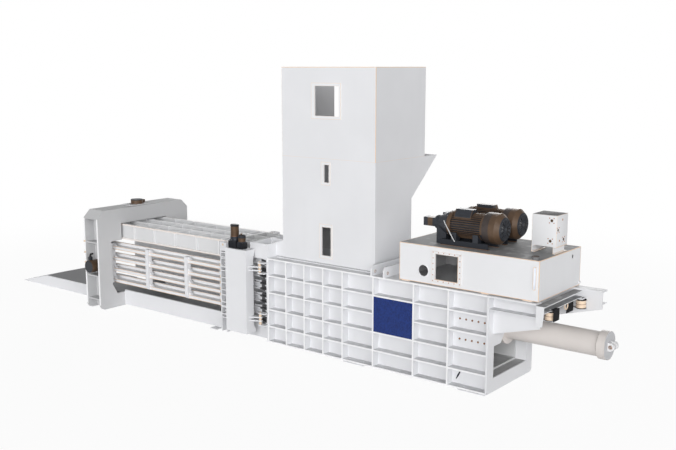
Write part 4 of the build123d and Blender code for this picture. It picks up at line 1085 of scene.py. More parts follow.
@dataclass
class TyingStation(Assembly):
    """The tying frame, the swinging tying box with its drives, and the needles.

    The profiles of the drives' fittings hold what their radii add to the motor's radius.
    """

    title: ClassVar[str] = "tying station"
    body: str = "tying_box"
    long_motor: Point = at(-2805, -850, 1760)
    short_motor: Point = at(-2635, -850, 1740)
    long_radius: float = 0.073
    short_radius: float = 0.065
    long_height: float = 0.280
    short_height: float = 0.130
    flange: Profile = (
        (0, 0.022), (0.016, 0.024), (0.018, 0.020), (0.024, 0.010), (0.06, 0.006), (0.075, 0.001),
    )
    cap: Profile = (
        (0, 0.001), (0.002, 0.004), (0.026, 0.004),
        (0.033, -0.004), (0.036, -0.0292), (0.037, -0.05475),
    )
    seat: Profile = (
        (0, 0.009), (0.0009, 0.0111), (0.003, 0.012),
        (0.013, 0.012), (0.0151, 0.0111), (0.016, 0.009),
    )
    hood: Profile = ((0, 0.001), (0.003, 0.004), (0.046, 0.003), (0.056, -0.012), (0.062, -0.0312))
    gland: tuple[Point, ...] = ((0.025, 0, 0.005), (0.025, 0, 0.038), (0.075, 0, 0.038))
    gland_radius: float = 0.014
    hood_depth: float = 0.050
    cap_depth: float = 0.030
    ring: HoopSize = (0.074, 0.004)
    ring_rise: float = 0.079
    stud: Point = (0.086, 0.0, 0.017)
    stud_across: float = 0.014
    gearbox_near: float = -0.925
    rib: Point = (0.006, 0.007, 0.100)
    rib_start: Point = (-0.082, 0.0, -0.013)
    rib_step: float = 0.0235
    rib_count: int = 8
    short_rib_start: Point = (-0.055, 0.010, -0.018)
    short_rib_step: float = 0.021
    short_rib_count: int = 6
    hinge: tuple[float, float] = (-2.285, -0.785)
    slot_shade: Corners = (at(-2440, -700, 235), at(-2160, 700, 1440))
    sleeve_radius: float = 0.025
    sleeves: tuple[Line, ...] = ((0.315, 0.535), (1.240, 1.435))

    def build(self) -> None:
        """Dresses the nodes and adds the drives' fittings."""
        # painted shade: the comb's bars are painted near black where the needle slots lie in shade
        slot_shade = (Region(*self.slot_shade, Paint.SLOT_SHADE),)
        bars = SprayPaint("comb_enamel", Paint.WHITE, regions=slot_shade)
        self.dress(bars, "tier_bars", "tier_posts")
        self.dress(self.stock.white, "hinge_lugs", "shear_beam")
        self.dress(SprayPaint("cover_enamel", Paint.GREY, dust_and_shade=0.5), "tier_top")
        self.dress(SprayPaint("tying_box_enamel", Paint.WHITE, dust_and_shade=0.5), "tier_door")
        self.dress(self.stock.pale_copper, "hinge_pins")
        self.dress(self.stock.upright_steel, "twister_shaft")
        self.dress(self.stock.black, "tier_gearboxes")
        self.dress(self.stock.bronze, "tier_motors")
        self.dress(self.stock.steel, "needles")
        self.dress(self.stock.grey, "needle_carriage", "needle_frame")
        self.long_drive()
        self.short_drive()
        self.gearbox_ribs()
        self.hinge_sleeves()

    def swing(self, piece: Piece, finish: Finish, slot: str) -> None:
        """Keeps a piece that swings with the tying box."""
        self.keep(piece, finish, slot, self.body)

    def long_drive(self) -> None:
        """The tall motor's flange, the ring over it, its black fan cap and the flange's studs."""
        start, radius = self.long_motor, self.long_radius
        flange = Workshop.turned("long_drive_flange", start, UP, grown(radius, self.flange))
        self.swing(flange, self.stock.slate, "dark_paint")
        place = shifted(start, z=self.ring_rise)
        ring = Workshop.hoop("long_drive_ring", place, UP, *self.ring)
        self.swing(ring, self.stock.copper_dark, "pin")
        place = shifted(start, z=self.long_height - self.cap_depth)
        cap = Workshop.turned("long_drive_cap", place, UP, grown(radius, self.cap))
        self.swing(cap, self.stock.black, "dark_paint")
        place = shifted(start, *self.stud)
        stud = Workshop.bolt("long_drive_studs", place, UP, self.stud_across)
        studs = Workshop.ring("long_drive_studs", stud, start, Axis.Z, 8)
        self.swing(studs, self.stock.steel, "pin")

    def short_drive(self) -> None:
        """The short motor's seat, its black hood and the grey cable gland."""
        start, radius = self.short_motor, self.short_radius
        seat = Workshop.turned("short_drive_seat", start, UP, grown(radius, self.seat))
        self.swing(seat, self.stock.slate, "dark_paint")
        place = shifted(start, z=self.short_height - self.hood_depth)
        hood = Workshop.turned("short_drive_hood", place, UP, grown(radius, self.hood))
        self.swing(hood, self.stock.slate, "dark_paint")
        top = shifted(start, z=self.short_height)
        corners = [shifted(top, *corner) for corner in self.gland]
        gland = Workshop.pipe("short_drive_gland", corners, self.gland_radius)
        self.swing(gland, self.stock.grey, "body")

    def gearbox_ribs(self) -> None:
        """Cooling ribs on the near faces of the two gearboxes."""
        width, depth, tall = self.rib
        x, _, top = shifted(self.long_motor, *self.rib_start)
        z = top - tall
        low = (x, self.gearbox_near - depth, z)
        high = (x + width, self.gearbox_near + 0.001, z + tall)
        rib = Workshop.slab("gearbox_ribs", low, high, 0.0015)
        moves = [(self.rib_step * k, 0, 0) for k in range(1, self.rib_count)]
        first = shifted(self.short_rib_start, x=self.short_motor[0] - x)
        moves += [shifted(first, x=self.short_rib_step * k) for k in range(self.short_rib_count)]
        self.swing(Workshop.row("gearbox_ribs", rib, moves), self.stock.slate, "dark_paint")

    def hinge_sleeves(self) -> None:
        """Turned sleeves between the hinge lugs, round the pins."""
        pieces = []
        for low, high in self.sleeves:
            length = high - low
            steps = ((0, -0.003), (0.003, 0), (length - 0.003, 0), (length, -0.003))
            profile = grown(self.sleeve_radius, steps)
            pieces.append(Workshop.turned("hinge_sleeve", (*self.hinge, low), UP, profile, 32))
        self.keep(Workshop.join("hinge_sleeves", pieces), self.stock.pale_copper, "pin")


@dataclass
class BaleChannel(Assembly):
    """The bale channel: floor, side walls, lid and chute.

    A rail line is its distance from a rail's middle in millimetres, its face, width and strength.
    A lid line is 0 for the lid's underside or 1 for its top, its height over that, and its width.
    """

    title: ClassVar[str] = "bale channel"
    rails: tuple[float, ...] = (504.5, 729.5, 954.5, 1179.5)
    rail_lines: tuple[tuple[float, float, float, float], ...] = (
        (30, 0.72, 0.008, 1.0),
        (83, 0.57, 0.007, 0.8),
    )
    lid_side: float = 0.565
    lid_reach: float = 0.6
    lid_lines: tuple[tuple[int, float, float], ...] = (
        (1, 0.0, 0.008), (1, -0.025, 0.005), (0, 0.0, 0.008), (0, 0.03, 0.005),
    )
    lid_strength: float = 0.7
    skirt_shade: Corners = ((-9.9, -0.54, 0.0), (-7.2, 0.54, 0.5))
    floor_end: Corners = (at(-7500, -800, -100), at(-6180, 800, 130))

    def build(self) -> None:
        """Dresses the nodes, with primer lines along the rails and the lid's flanges."""
        for side, name in SIDES:
            edges = tuple(
                EdgeRun(Axis.Z, up_to(height + reach * turn), Axis.Y, face * side, width, strength)
                for height in self.rails
                for turn in (-1, 1)
                for reach, face, width, strength in self.rail_lines
            )
            rails = SprayPaint(f"{name}_rail_enamel", Paint.LID_WHITE, dust_and_shade=0.25, edges=edges)
            self.dress(rails, f"wall_rails_{name}")
        self.dress(self.stock.white, "wall_straps_near", "wall_straps_far", "base_beams")
        # the channel floor's dark grey is partly its paint and partly painted shade, as it lies in
        # shade inside the channel
        end = (Region(*self.floor_end, Paint.WHITE),)
        floor = SprayPaint("channel_floor_enamel", Paint.DECK, 0.5, 0.2, regions=end)
        self.dress(floor, "channel_floor")
        self.lid()
        # painted shade: the chute's low plate is painted dark grey for the shade it lies in
        skirt_shade = (Region(*self.skirt_shade, Paint.DECK),)
        self.dress(SprayPaint("chute_enamel", Paint.WHITE, dust_and_shade=0.3, regions=skirt_shade), "chute")

    def lid(self) -> None:
        """The lid's paint, with painted highlights on its rims and top, and lines along its
        flanges.
        """
        low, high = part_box("channel_lid")
        side, reach = self.lid_side, self.lid_reach
        box = ((low[0], -side, low[2]), (high[0], side, high[2]))
        edges = tuple(
            EdgeRun(Axis.Y, side * turn, Axis.Z, box[end][2] + rise, width, self.lid_strength)
            for turn in (-1, 1)
            for end, rise, width in self.lid_lines
        )
        # painted highlights on the lid's side rims and on its top
        top = ((low[0] - 0.01, -reach, high[2] - 0.002), (high[0] + 0.01, reach, high[2] + 0.01))
        rim_highlights = (*side_highlights(box, Paint.LID_RIM_HIGHLIGHT, reach - side), Region(*top, Paint.RIM_HIGHLIGHT))
        lid = SprayPaint("lid_line_enamel", Paint.LID, dust_and_shade=0.1, edges=edges, regions=rim_highlights)
        self.dress(lid, "channel_lid")


@dataclass
class Portal(Assembly):
    """The portal with its three tension cylinders."""

    title: ClassVar[str] = "portal"
    middle: float = -6.455
    end: float = 1.2585
    top: float = up_to(2069)
    top_rim: float = 0.012
    seat_top: float = up_to(1985)
    screw_reach: float = 0.137
    port: Point = at(-6455, -1210, 1052)
    port_inner: float = 1.179
    port_heights: tuple[float, float] = (-0.064, 0.01)
    nut: Profile = ((0, 0.024), (0.003, 0.027), (0.022, 0.027), (0.026, 0.020))
    elbow: tuple[Point, ...] = ((0, 0, 0.02), (0, 0, 0.045), (0, 0.02, 0.055), (0, 0.065, 0.055))
    elbow_radius: float = 0.018
    nub_x: float = -6.655
    nub_heights: tuple[float, ...] = (1346, 1124, 922)
    nub: Profile = (
        (-0.004, 0.020), (0.006, 0.020), (0.008, 0.015),
        (0.020, 0.014), (0.030, 0.009), (0.033, 0.004),
    )
    plate_edge: float = 1.175
    plate_box: Corners = ((-6.69, -1.175, 0.01), (-6.21, 1.175, 2.09))

    def build(self) -> None:
        """Dresses the nodes and adds the cylinders' fittings and the rear plate's nubs."""
        # painted shade: the portal's plates and ribs are painted grey for the shade they stand in,
        # with painted highlights on the plates' outermost side faces
        rim_highlights = side_highlights(self.plate_box)
        plates = SprayPaint("plate_enamel", Paint.PORTAL, dust_and_shade=0.3, regions=rim_highlights)
        self.dress(plates, "portal_plates")
        self.dress(self.stock.portal_grey, "portal_ribs")
        barrels = TwoTone("barrel_bronze", self.barrel_zones, (1.5, 1.0), 8.0, 130.0)
        self.dress(barrels, "tension_barrels")
        self.dress(self.stock.upright_steel, "top_rod", "side_rod_near", "side_rod_far")
        self.fittings()
        self.nubs()
        self.cap_screws()

    def barrel_zones(self, bench: NodeBench) -> Shade:
        """Bronze, but for the barrels' end discs and port blocks and the top one's rim."""
        _, y, z = bench.place()
        low, high = (self.port[2] + part for part in self.port_heights)
        block = (y.size() > self.port_inner) * (z > low) * (z < high)
        ends = (y.size() > self.end).top(z > self.top).top(block)
        rim = (z > self.top - self.top_rim) * (z < self.top)
        return 1 - ends.top(rim)

    def fittings(self) -> None:
        """Black elbows on the side cylinders' ports."""
        nut = Workshop.turned("port_nut", self.port, UP, self.nut, 6)
        corners = [shifted(self.port, *corner) for corner in self.elbow]
        elbow = Workshop.pipe("port_elbow", corners, self.elbow_radius)
        near = Workshop.join("port_fitting_near", [nut, elbow])
        self.keep_both(near, self.stock.rubber, "plastic")

    def nubs(self) -> None:
        """Short grease nipples on the rear plate's edges."""
        places = [(self.nub_x, -self.plate_edge, up_to(height)) for height in self.nub_heights]
        first = Workshop.turned("grease_nipples", places[0], NEARWARD, self.nub, 16)
        near = Workshop.row("grease_nipples_near", first, steps_from(places))
        self.keep_both(near, self.stock.pale_copper, "pin")

    def cap_screws(self) -> None:
        """Eight screws round the top cylinder's seat."""
        place = (self.middle + self.screw_reach, 0.0, self.seat_top)
        screw = Workshop.bolt("seat_screws", place, UP, 0.018)
        screws = Workshop.ring("seat_screws", screw, (self.middle, 0.0, 0.0), Axis.Z, 8)
        self.keep(screws, self.stock.copper_dark, "pin")


@dataclass
class MainCylinder(Assembly):
    """The main cylinder behind the press box."""

    title: ClassVar[str] = "main cylinder"
    eye: Point = at(3745, 0, 877)
    lug_faces: tuple[float, float] = (0.035, 0.080)
    disc: Corners = (at(3704, -190, 680), at(3707, 190, 1080))
    lugs: Corners = (at(3707, -200, 600), at(3900, 200, 1200))
    bush_radius: float = 0.0225
    gland_x: float = 3.580
    gland: HoopSize = (0.183, 0.009, 0.8, 64)

    def build(self) -> None:
        """Dresses the barrel, cap and rod, bushes the lugs and adds the gland's ring."""
        self.dress(SprayPaint("barrel_enamel", Paint.BEIGE, 0.5, 0.1), "main_barrel")
        regions = (Region(*self.disc, Paint.DISC), Region(*self.lugs, Paint.LUG))
        cap = SprayPaint("barrel_cap_enamel", Paint.BEIGE, 0.5, 0.1, regions=regions)
        self.dress(cap, "barrel_end_cap")
        self.dress(self.stock.steel, "main_rod")
        x, _, z = self.eye
        places = [(x, reach * side, z) for side in (-1, 1) for reach in self.lug_faces]
        self.bushes("lug_bushes", places, Axis.Y.vector(), self.bush_radius)
        gland = Workshop.hoop("gland_ring", (self.gland_x, 0.0, z), BACKWARD, *self.gland)
        self.keep(gland, self.stock.bronze, "pin")


@dataclass
class OilTank(Assembly):
    """The oil tank with its hand hole, gauge and filler."""

    title: ClassVar[str] = "oil tank"
    low: Point = at(558, -660, 1512)
    high: Point = at(2910, 710, 2099)
    skin: float = 0.004
    strong_line: Line = (0.010, 1.0)
    faint_line: Line = (0.010, 0.4)
    hatch_line: Line = (0.006, 0.4)
    hole_level: Line = (1.215, 1.605)
    hole_upright: Line = (up_to(1603), up_to(1992))
    bolt_inset: Line = (0.024, 0.018)
    bolt_across: float = 0.013
    port: Point = at(996, -661, 1705)
    port_ring: HoopSize = (0.095, 0.010, 0.5, 48)
    side_port: Point = at(2908, 424, 1993)
    side_ring: HoopSize = (0.036, 0.005, 0.6, 32)
    gauge: Corners = (at(2829, -668, 1692), at(2861, -665, 1995))
    gauge_line: HoopSize = (0.024, 0.0030, 0.5, 32)
    gauge_line_y: float = -0.6745
    gauge_end: float = 0.010
    crown: float = 0.006
    rim: HoopSize = (0.0038, 0.9, 48)
    rim_inset: float = 0.004

    def build(self) -> None:
        """Dresses the tank and adds its small fittings."""
        low, high = self.low, self.high
        edges = box_edges(
            low, high, self.strong_line, self.faint_line, (high[0], low[1]), (high[2], low[1])
        )
        # painted shade: the tank's inside, seen through the hand hole, is painted grey, and its
        # tops get the heaviest dust and painted shade
        inner_low, inner_high = shifted(low, *[self.skin] * 3), shifted(high, *[-self.skin] * 3)
        inside = (Region(inner_low, inner_high, Paint.INSIDE),)
        shell = SprayPaint("tank_enamel", Paint.LID_WHITE, 0.75, 1.0, 0.30, edges, inside)
        self.dress(shell, "tank")
        self.hatch()
        cap_low, cap_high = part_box("filler_cap")
        crown_low = (cap_low[0], cap_low[1], cap_high[2] - self.crown)
        crown = (Region(crown_low, shifted(cap_high, z=0.001), Paint.CROWN),)
        cap = SprayPaint("filler_enamel", Paint.DECK, dust_and_shade=0.0, regions=crown)
        self.dress(cap, "filler_cap")
        self.hatch_bolts()
        self.level_gauge()
        self.rings()
        self.filler_rim(cap_low, cap_high)

    def hatch(self) -> None:
        """The hand hole frame's paint, with primer round the hole and fainter lines outside."""
        low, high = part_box("hand_hole_frame")
        strong, faint = self.strong_line, self.hatch_line
        styles = (faint, strong, strong, faint)
        lines = runs_round(low[1], self.hole_level, self.hole_upright, styles, 0.008)
        lines += runs_round(low[1], (low[0], high[0]), (low[2], high[2]), [faint] * 4, 0.008)
        hatch = SprayPaint("hatch_enamel", Paint.LID_WHITE, dust_and_shade=0.1, edges=tuple(lines))
        self.dress(hatch, "hand_hole_frame")

    def hatch_bolts(self) -> None:
        """Twenty small bolts round the hand hole."""
        low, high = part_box("hand_hole_frame")
        inset, edge = self.bolt_inset
        left, right, bottom, top = low[0] + inset, high[0] - inset, low[2] + edge, high[2] - edge
        places = [(x, low[1], z) for x in spaced(left, right, 6) for z in (bottom, top)]
        places += [(x, low[1], z) for z in spaced(bottom, top, 6)[1:-1] for x in (left, right)]
        first = Workshop.bolt("hatch_bolts", places[0], NEARWARD, self.bolt_across, 1.25)
        self.keep(Workshop.row("hatch_bolts", first, steps_from(places)), self.stock.copper, "pin")

    def level_gauge(self) -> None:
        """The level gauge's glass and the line round it."""
        low, high = self.gauge
        glass = Workshop.slab("gauge_glass", low, high, 0.001)
        self.keep(glass, Rubbery("gauge_glass", Paint.GLASS, 0.16), "plastic")
        x, middle = (low[0] + high[0]) / 2, (low[2] + high[2]) / 2
        centre = (x, self.gauge_line_y, middle)
        line = Workshop.hoop("gauge_line", centre, NEARWARD, *self.gauge_line)
        shift = (high[2] - low[2]) / 2 - self.gauge_end
        for vertex in line.data.vertices:
            vertex.co.z += shift if vertex.co.z > middle else -shift
        self.keep(line, self.stock.primer, "pin")

    def rings(self) -> None:
        """The flat rings round the suction port and the side port."""
        for name, place, axis, size in (
            ("port_ring", self.port, NEARWARD, self.port_ring),
            ("side_port_ring", self.side_port, BACKWARD, self.side_ring),
        ):
            self.keep(Workshop.hoop(name, place, axis, *size), self.stock.lid_white, "body")

    def filler_rim(self, low: Vector, high: Vector) -> None:
        """The pale rim round the filler cap's top."""
        inset = self.rim_inset
        centre = ((low[0] + high[0]) / 2, (low[1] + high[1]) / 2, high[2] - inset)
        radius = (high[0] - low[0]) / 2 - inset
        rim = Workshop.hoop("filler_rim", centre, UP, radius, *self.rim)
        self.keep(rim, self.stock.primer, "pin", "filler_cap")


@dataclass
class PumpSets(Assembly):
    """The two motors with their pumps."""

    title: ClassVar[str] = "pump sets"
    axis_y: float = 0.28
    axis_z: float = up_to(2409)
    crest: Line = (0.183, 0.197)
    fin_top: float = 0.2015
    box_x: tuple[float, float] = (1.374, 1.666)
    box_y: tuple[float, float] = (-0.152, 0.032)
    box_rise: float = 0.08
    box_edge: float = 0.011
    box_rub: float = 1.6
    feet_drop: float = 0.090
    band_end: float = 1.995
    bell_end: float = 2.14
    bell_radius: float = 0.1775
    flange_x: float = 1.262
    flange_radius: float = 0.188
    pump_band: Line = (0.86, 0.945)
    foot: float = up_to(2099)
    leg_box: Corners = ((2.40, -0.30, foot - 0.01), (2.95, 0.40, foot + 0.30))
    sole_box: Corners = ((1.10, -0.80, foot - 0.01), (2.05, 0.80, foot + 0.009))
    leg_edges: tuple[float, ...] = (2.495, 2.545, 2.831, 2.881)
    leg_face: float = -0.100
    leg_lines: tuple[tuple[Axis, float, Line], ...] = (
        (Axis.Y, leg_face, (0.006, 0.6)),
        (Axis.Z, foot, (0.012, 0.9)),
        (Axis.Z, foot + 0.101, (0.008, 0.7)),
    )
    grille_x: float = 2.165
    grille_radius: float = 0.158
    grille_hoop: HoopSize = (0.156, 0.0025, 0.8, 48)
    wires: int = 24
    wire_half: float = 0.0016
    wire_start: float = 0.026
    hub: Profile = ((0, 0.028), (0.005, 0.028), (0.008, 0.022), (0.009, 0.008))
    pipe_points: tuple[Point, ...] = (
        at(1232, -478, 2474), at(1244, -496, 2468), at(1330, -496, 2335), at(1416, -492, 2196),
        at(1420, -470, 2175),
    )

    def build(self) -> None:
        """Dresses the motors by zones and adds their fittings."""
        for name, zones, node in (
            ("motor_enamel", self.motor_zones, "motors"),
            ("cowl_enamel", self.cowl_zones, "fan_cowls"),
            ("bell_enamel", self.bell_zones, "bellhousings"),
            ("pump_enamel", self.pump_zones, "pumps"),
        ):
            self.dress(TwoTone(name, zones), node)
        self.dress(self.channel_paint(), "tank_top_channels")
        self.dress(self.stock.upright_steel, "rotor_near", "rotor_far")
        for side, name in SIDES:
            self.grille(name, (self.grille_x, self.axis_y * side, self.axis_z))
        pipe = Workshop.pipe("leak_pipe", self.pipe_points, 0.0075)
        self.keep(pipe, self.stock.grey, "steel")
        for side, name in SIDES:
            self.flange_bolts(name, (self.flange_x, self.axis_y * side, self.axis_z))

    def radius(self, bench: NodeBench) -> Shade:
        """Distance from the nearer motor's axis."""
        _, y, z = bench.place()
        across = y.size() - self.axis_y
        up = z - self.axis_z
        return (across * across + up * up).root()

    def motor_zones(self, bench: NodeBench) -> Shade:
        """Bronze fin crests, with the grooves, the terminal boxes and the feet in slate."""
        x, y, z = bench.place()
        reach = self.radius(bench)
        sides = [
            (y > self.box_y[0] + shift) * (y < self.box_y[1] + shift)
            for shift in (-self.axis_y, self.axis_y)
        ]
        along = (x > self.box_x[0]) * (x < self.box_x[1])
        high = (z > self.axis_z + self.box_rise) * (reach > self.fin_top)
        box = high * along * sides[0].top(sides[1])
        front, back = (x.near(place, self.box_edge) for place in self.box_x)
        edge = front.top(back) * (bench.facing()[0].size() < 0.5)
        feet = (z < self.axis_z - self.feet_drop) * (reach > self.fin_top)
        return reach.spread(*self.crest) * (1 - box.top(feet)) + edge * box * self.box_rub

    def cowl_zones(self, bench: NodeBench) -> Shade:
        """A slate band, a bronze bell and a slate grille."""
        x, _, _ = bench.place()
        outer = (self.radius(bench) > self.bell_radius).top(x < self.bell_end)
        return (x > self.band_end) * outer + (x < self.band_end) * 0.35

    def bell_zones(self, bench: NodeBench) -> Shade:
        """A bronze flange on the motor's side of the slate bellhousing."""
        return bench.place()[0] > self.flange_x

    def pump_zones(self, bench: NodeBench) -> Shade:
        """A bronze band round the slate pump."""
        x = bench.place()[0]
        return (x > self.pump_band[0]) * (x < self.pump_band[1])

    def channel_paint(self) -> SprayPaint:
        """Slate rails under the motors, and white legs with primer edges under the valve block."""
        regions = (Region(*self.leg_box, Paint.LID_WHITE), Region(*self.sole_box, Paint.SOLE))
        edges = tuple(
            EdgeRun(Axis.X, x, axis, place, *line)
            for x in self.leg_edges
            for axis, place, line in self.leg_lines
        )
        return SprayPaint("rail_enamel", Paint.SLATE, dust_and_shade=0.1, edges=edges, regions=regions)

    def grille(self, name: str, centre: Point) -> None:
        """Radial wires, a hoop and a hub over a fan opening."""
        low = shifted(centre, -0.002, -self.wire_half, self.wire_start)
        high = shifted(centre, 0.003, self.wire_half, self.grille_radius)
        wire = Workshop.slab("grille_wire", low, high, 0.0)
        wires = Workshop.ring("grille_wires", wire, centre, Axis.X, self.wires)
        place = shifted(centre, x=0.001)
        hoop = Workshop.hoop("grille_hoop", place, BACKWARD, *self.grille_hoop)
        hub = Workshop.turned("grille_hub", shifted(centre, x=-0.002), BACKWARD, self.hub, 32)
        grille = Workshop.join(f"fan_grille_{name}", [wires, hoop, hub])
        self.keep(grille, self.stock.wire, "dark_paint")

    def flange_bolts(self, name: str, centre: Point) -> None:
        """Bolts round the flange between a bellhousing and its motor."""
        place = shifted(centre, z=self.flange_radius)
        bolt = Workshop.bolt("flange_bolts", place, Axis.X.vector(-1), 0.020)
        bolts = Workshop.ring(f"flange_bolts_{name}", bolt, centre, Axis.X, 8)
        self.keep(bolts, self.stock.upright_steel, "pin")


@dataclass
class ValveBlock(Assembly):
    """The drilled valve block on the tank. A plug's radii are shares of the port's radius."""

    title: ClassVar[str] = "valve block"
    low: Point = at(2495, -100, 2200)
    high: Point = at(2881, 268, 2660)
    strong_line: Line = (0.007, 0.45)
    faint_line: Line = (0.007, 0.15)
    front_ports: tuple[Point, ...] = (at(2801, -100, 2584), at(2787, -100, 2285))
    side_ports: tuple[Point, ...] = (at(2881, -54, 2448), at(2881, 137, 2290))
    side_plugs: tuple[Point, ...] = (at(2881, 86, 2585), at(2881, 5, 2285))
    port_radius: float = 0.021
    plug_steps: Profile = (
        (-0.001, 1.0), (0.002, 1.0), (0.003, 0.86), (0.0032, 0.5), (0.0022, 0.45),
    )
    screw_reach: float = 0.034
    screw: Profile = (
        (-0.001, 0.0085), (0.003, 0.0085), (0.0045, 0.0070), (0.0045, 0.0042), (0.0020, 0.0036),
    )

    def build(self) -> None:
        """Models the block with its ports and plugs in place of the plain one."""
        low, high = self.low, self.high
        edges = box_edges(low, high, self.strong_line, self.faint_line, (high[0],), (low[1],))
        block = Workshop.slab("valve_body", low, high, 0.006, 3)
        paint = SprayPaint("block_enamel", Paint.LID_WHITE, 0.8, 1.0, 0.10, edges)
        self.keep(block, paint, "body")
        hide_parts("valve_manifold")
        self.ports("front", self.front_ports, Axis.Y, -1)
        self.ports("side", self.side_ports, Axis.X, 1)
        plugs = [self.plug("side_plug", place, BACKWARD, 0.7) for place in self.side_plugs]
        self.keep(Workshop.join("side_plugs", plugs), self.stock.copper, "pin")

    def plug(self, name: str, place: Point, axis: Vector, scale: float) -> Piece:
        """A turned port plug, standing just proud of the block."""
        radius = self.port_radius * scale
        profile = [(reach, radius * share) for reach, share in self.plug_steps]
        return Workshop.turned(name, place, axis, profile, 28)

    def ports(self, name: str, places: Sequence[Point], face: Axis, sign: float) -> None:
        """Ports with four screws each on one face of the block.

        Args:
            name: Which face, for the pieces' names.
            places: The ports' centres.
            face: The face's direction.
            sign: Which of that direction's two sides.
        """
        axis = face.vector(sign)
        reach, turned, screws = self.screw_reach, [], []
        for place in places:
            turned.append(self.plug(f"{name}_port", place, axis, 1.0))
            corners = []
            for level, rise in ((-1, -1), (-1, 1), (1, -1), (1, 1)):
                x, y = (reach * level, 0.0) if face is Axis.Y else (0.0, reach * level)
                corners.append(shifted(place, x, y, reach * rise))
            first = Workshop.turned(f"{name}_screws", corners[0], axis, self.screw, 14)
            screws.append(Workshop.row(f"{name}_screws", first, steps_from(corners)))
        self.keep(Workshop.join(f"{name}_ports", turned), self.stock.bronze, "pin")
        self.keep(Workshop.join(f"{name}_port_screws", screws), self.stock.copper, "pin")


@dataclass
class RearFrame(Assembly):
    """The rear brackets, the cross channel and the guide drums."""

    title: ClassVar[str] = "rear frame"
    near_drum: Point = at(2995, -450, 1235)
    far_drum: Point = at(3055, 460, 1235)
    drum_height: float = 0.115
    drum_radius: float = 0.076
    flange: Profile = ((0, -0.008), (0.002, 0.004), (0.012, 0.004), (0.014, -0.004))
    nut: Profile = ((0, 0.020), (0.003, 0.024), (0.015, 0.024))
    near_plate: Corners = (at(3076, -525, 1225), at(3088, -345, 1400))
    near_arm: Corners = (at(3034, -505, 1385), at(3080, -365, 1397))
    far_plate: Corners = (at(2962, 150, 1192), at(2976, 372, 1374))
    hook: Point = at(2985, 100, 1318)
    hook_ring: HoopSize = (0.050, 0.010)
    waist: HoopSize = (0.075, 0.003)

    def build(self) -> None:
        """Dresses the nodes and adds the drums' flanges, the plates by them and the hook ring."""
        self.dress(self.stock.white, "rear_brackets")
        channel = SprayPaint("channel_enamel", Paint.WHITE, dust_and_shade=0.9, dust_and_shade_tint=0.3)
        self.dress(channel, "cross_channel")
        self.dress(self.stock.pale_copper, "guide_roller_near", "guide_roller_far")
        self.flanges("near", self.near_drum)
        self.flanges("far", self.far_drum)
        self.plates()

    def flanges(self, name: str, place: Point) -> None:
        """Black flanges at a drum's two ends and a waist ring, which turn with it."""
        height, body = self.drum_height, f"roller_{name}"
        profile = grown(self.drum_radius, self.flange)
        pieces = [
            Workshop.turned("drum_flange", shifted(place, z=z), UP, profile)
            for z in (-0.010, height - 0.003)
        ]
        pieces.append(Workshop.turned("drum_nut", shifted(place, z=-0.024), UP, self.nut, 6))
        flanges = Workshop.join(f"drum_flanges_{name}", pieces)
        self.keep(flanges, self.stock.matt, "dark_paint", body)
        waist = shifted(place, z=height / 2)
        line = Workshop.hoop(f"drum_line_{name}", waist, UP, *self.waist)
        self.keep(line, self.stock.copper_dark, "pin", body)

    def plates(self) -> None:
        """The black plates beside the drums, and the ring that hangs from the channel."""
        near = Workshop.slab("drum_plate_near", *self.near_plate, 0.002)
        arm = Workshop.slab("drum_plate_arm", *self.near_arm, 0.001)
        near = Workshop.join("drum_plate_near", [near, arm])
        self.keep(near, self.stock.matt, "dark_paint")
        far = Workshop.slab("drum_plate_far", *self.far_plate, 0.002)
        self.keep(far, self.stock.matt, "dark_paint")
        ring = Workshop.hoop("hook_ring", self.hook, BACKWARD, *self.hook_ring)
        self.keep(ring, self.stock.pale_copper, "pin")


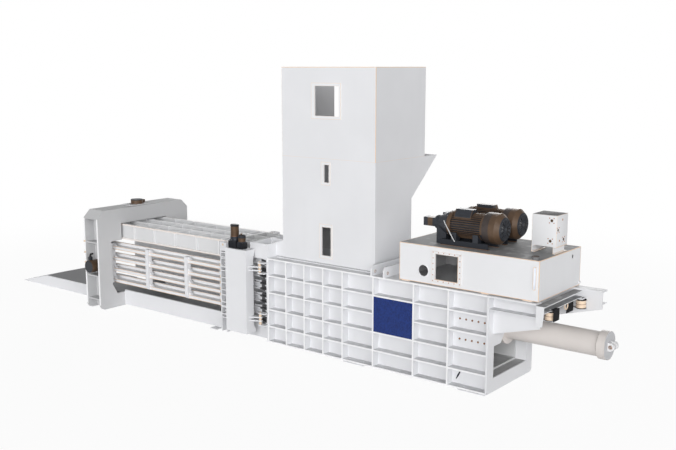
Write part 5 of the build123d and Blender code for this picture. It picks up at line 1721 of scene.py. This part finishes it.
@dataclass
class Studio:
    """Camera, lamps, floor and background.

    A lamp is its name, its direction, its strength and its spread in degrees.
    """

    place: Point = (8.487, -12.239, 4.768)
    turn: tuple[float, float, float] = (80.30, 0.0, 38.29)
    lens: float = 49.26
    lamp_list: tuple[tuple[str, Point, float, float], ...] = (
        ("key", (0.42, -0.88, 0.20), 2.02, 35.0),
        ("side", (0.88, -0.42, 0.24), 0.85, 35.0),
        ("fill", (-0.80, -0.50, 0.30), 0.25, 40.0),
        ("back", (-0.45, 0.85, 0.25), 1.6, 35.0),
    )
    ambient: float = 0.2
    shine: float = 0.5
    middle: Point = (-3.0, 0.0, 0.0)
    pool: Line = (7.0, 15.0)
    shadow_share: float = 0.06
    floor_size: float = 160.0
    white: Colour = (1.0, 1.0, 1.0)
    pale: Colour = (0.82, 0.82, 0.83)

    def build(self) -> None:
        """Sets the whole studio up."""
        self.camera()
        self.lamps()
        self.world()
        self.floor()
        bpy.context.scene.view_settings.view_transform = "Standard"

    def camera(self) -> None:
        """The camera at the photograph's place."""
        data = bpy.data.cameras.new("camera")
        data.lens = self.lens
        data.sensor_width = 36.0
        data.clip_end = 200.0
        camera = bpy.data.objects.new("camera", data)
        camera.location = self.place
        camera.rotation_euler = [math.radians(part) for part in self.turn]
        bpy.context.scene.collection.objects.link(camera)
        bpy.context.scene.camera = camera

    def lamps(self) -> None:
        """A soft key from the camera's side and weaker ones from the other sides."""
        for name, direction, strength, spread in self.lamp_list:
            light = bpy.data.lights.new(name, "SUN")
            light.energy = strength
            light.angle = math.radians(spread)
            lamp = bpy.data.objects.new(name, light)
            lamp.rotation_euler = Vector(direction).to_track_quat("Z", "Y").to_euler()
            bpy.context.scene.collection.objects.link(lamp)

    def seen(self, bench: NodeBench, *rays: str) -> Shade:
        """1 for the camera's rays and the other kinds of ray that are named."""
        path = bench.add("ShaderNodeLightPath")
        total = Shade(bench, path.outputs["Is Camera Ray"])
        for ray in rays:
            total = total + Shade(bench, path.outputs[ray])
        return total.low(1.0)

    def world(self) -> None:
        """Even dim light, seen as white by the camera and paler in reflections."""
        world = bpy.data.worlds.new("studio")
        bpy.context.scene.world = world
        world.use_nodes = True
        tree = world.node_tree
        tree.nodes.clear()
        bench = NodeBench("studio_sky")
        bench.tree = tree
        seen = self.seen(bench, "Is Transmission Ray")
        path = bench.add("ShaderNodeLightPath")
        glossy = Shade(bench, path.outputs["Is Glossy Ray"]) * self.shine
        strength = (seen + glossy).low(1.0).top(self.ambient)
        sky = bench.add("ShaderNodeBackground", values={0: self.white, 1: strength})
        bench.add("ShaderNodeOutputWorld", values={0: sky.outputs[0]})
        bpy.data.materials.remove(bench.material)

    def floor(self) -> None:
        """A wide pale floor that keeps the machine's shadow and is white further out."""
        Workshop.rest()
        bpy.ops.mesh.primitive_plane_add(size=self.floor_size, location=(0, 0, -0.001))
        floor = Workshop.settle("floor")
        bench = NodeBench("studio_floor")
        seen = self.seen(bench, "Is Glossy Ray")
        x, y, _ = bench.place()
        across, along = x - self.middle[0], y - self.middle[1]
        out = (across * across + along * along).root().spread(*self.pool)
        share = seen * (out * self.shadow_share + (1 - self.shadow_share))
        pale = bench.add("ShaderNodeBsdfDiffuse", values={0: self.pale})
        glow = bench.add("ShaderNodeEmission", values={0: self.white, 1: 1.0})
        values = {0: share, 1: pale.outputs[0], 2: glow.outputs[0]}
        mix = bench.add("ShaderNodeMixShader", values=values)
        bench.add("ShaderNodeOutputMaterial", values={0: mix.outputs[0]})
        floor.data.materials.append(bench.material)


def main() -> None:
    """Builds the baler's pieces in order."""
    logging.basicConfig(level=logging.INFO, format="%(name)s: %(message)s")
    Studio().build()
    stock = Finishes()
    parts = (
        PressBox, Hopper, TyingStation, BaleChannel, Portal,
        MainCylinder, OilTank, PumpSets, ValveBlock, RearFrame,
    )
    for part in parts:
        part(stock).build()


if __name__ == "__main__":
    main()
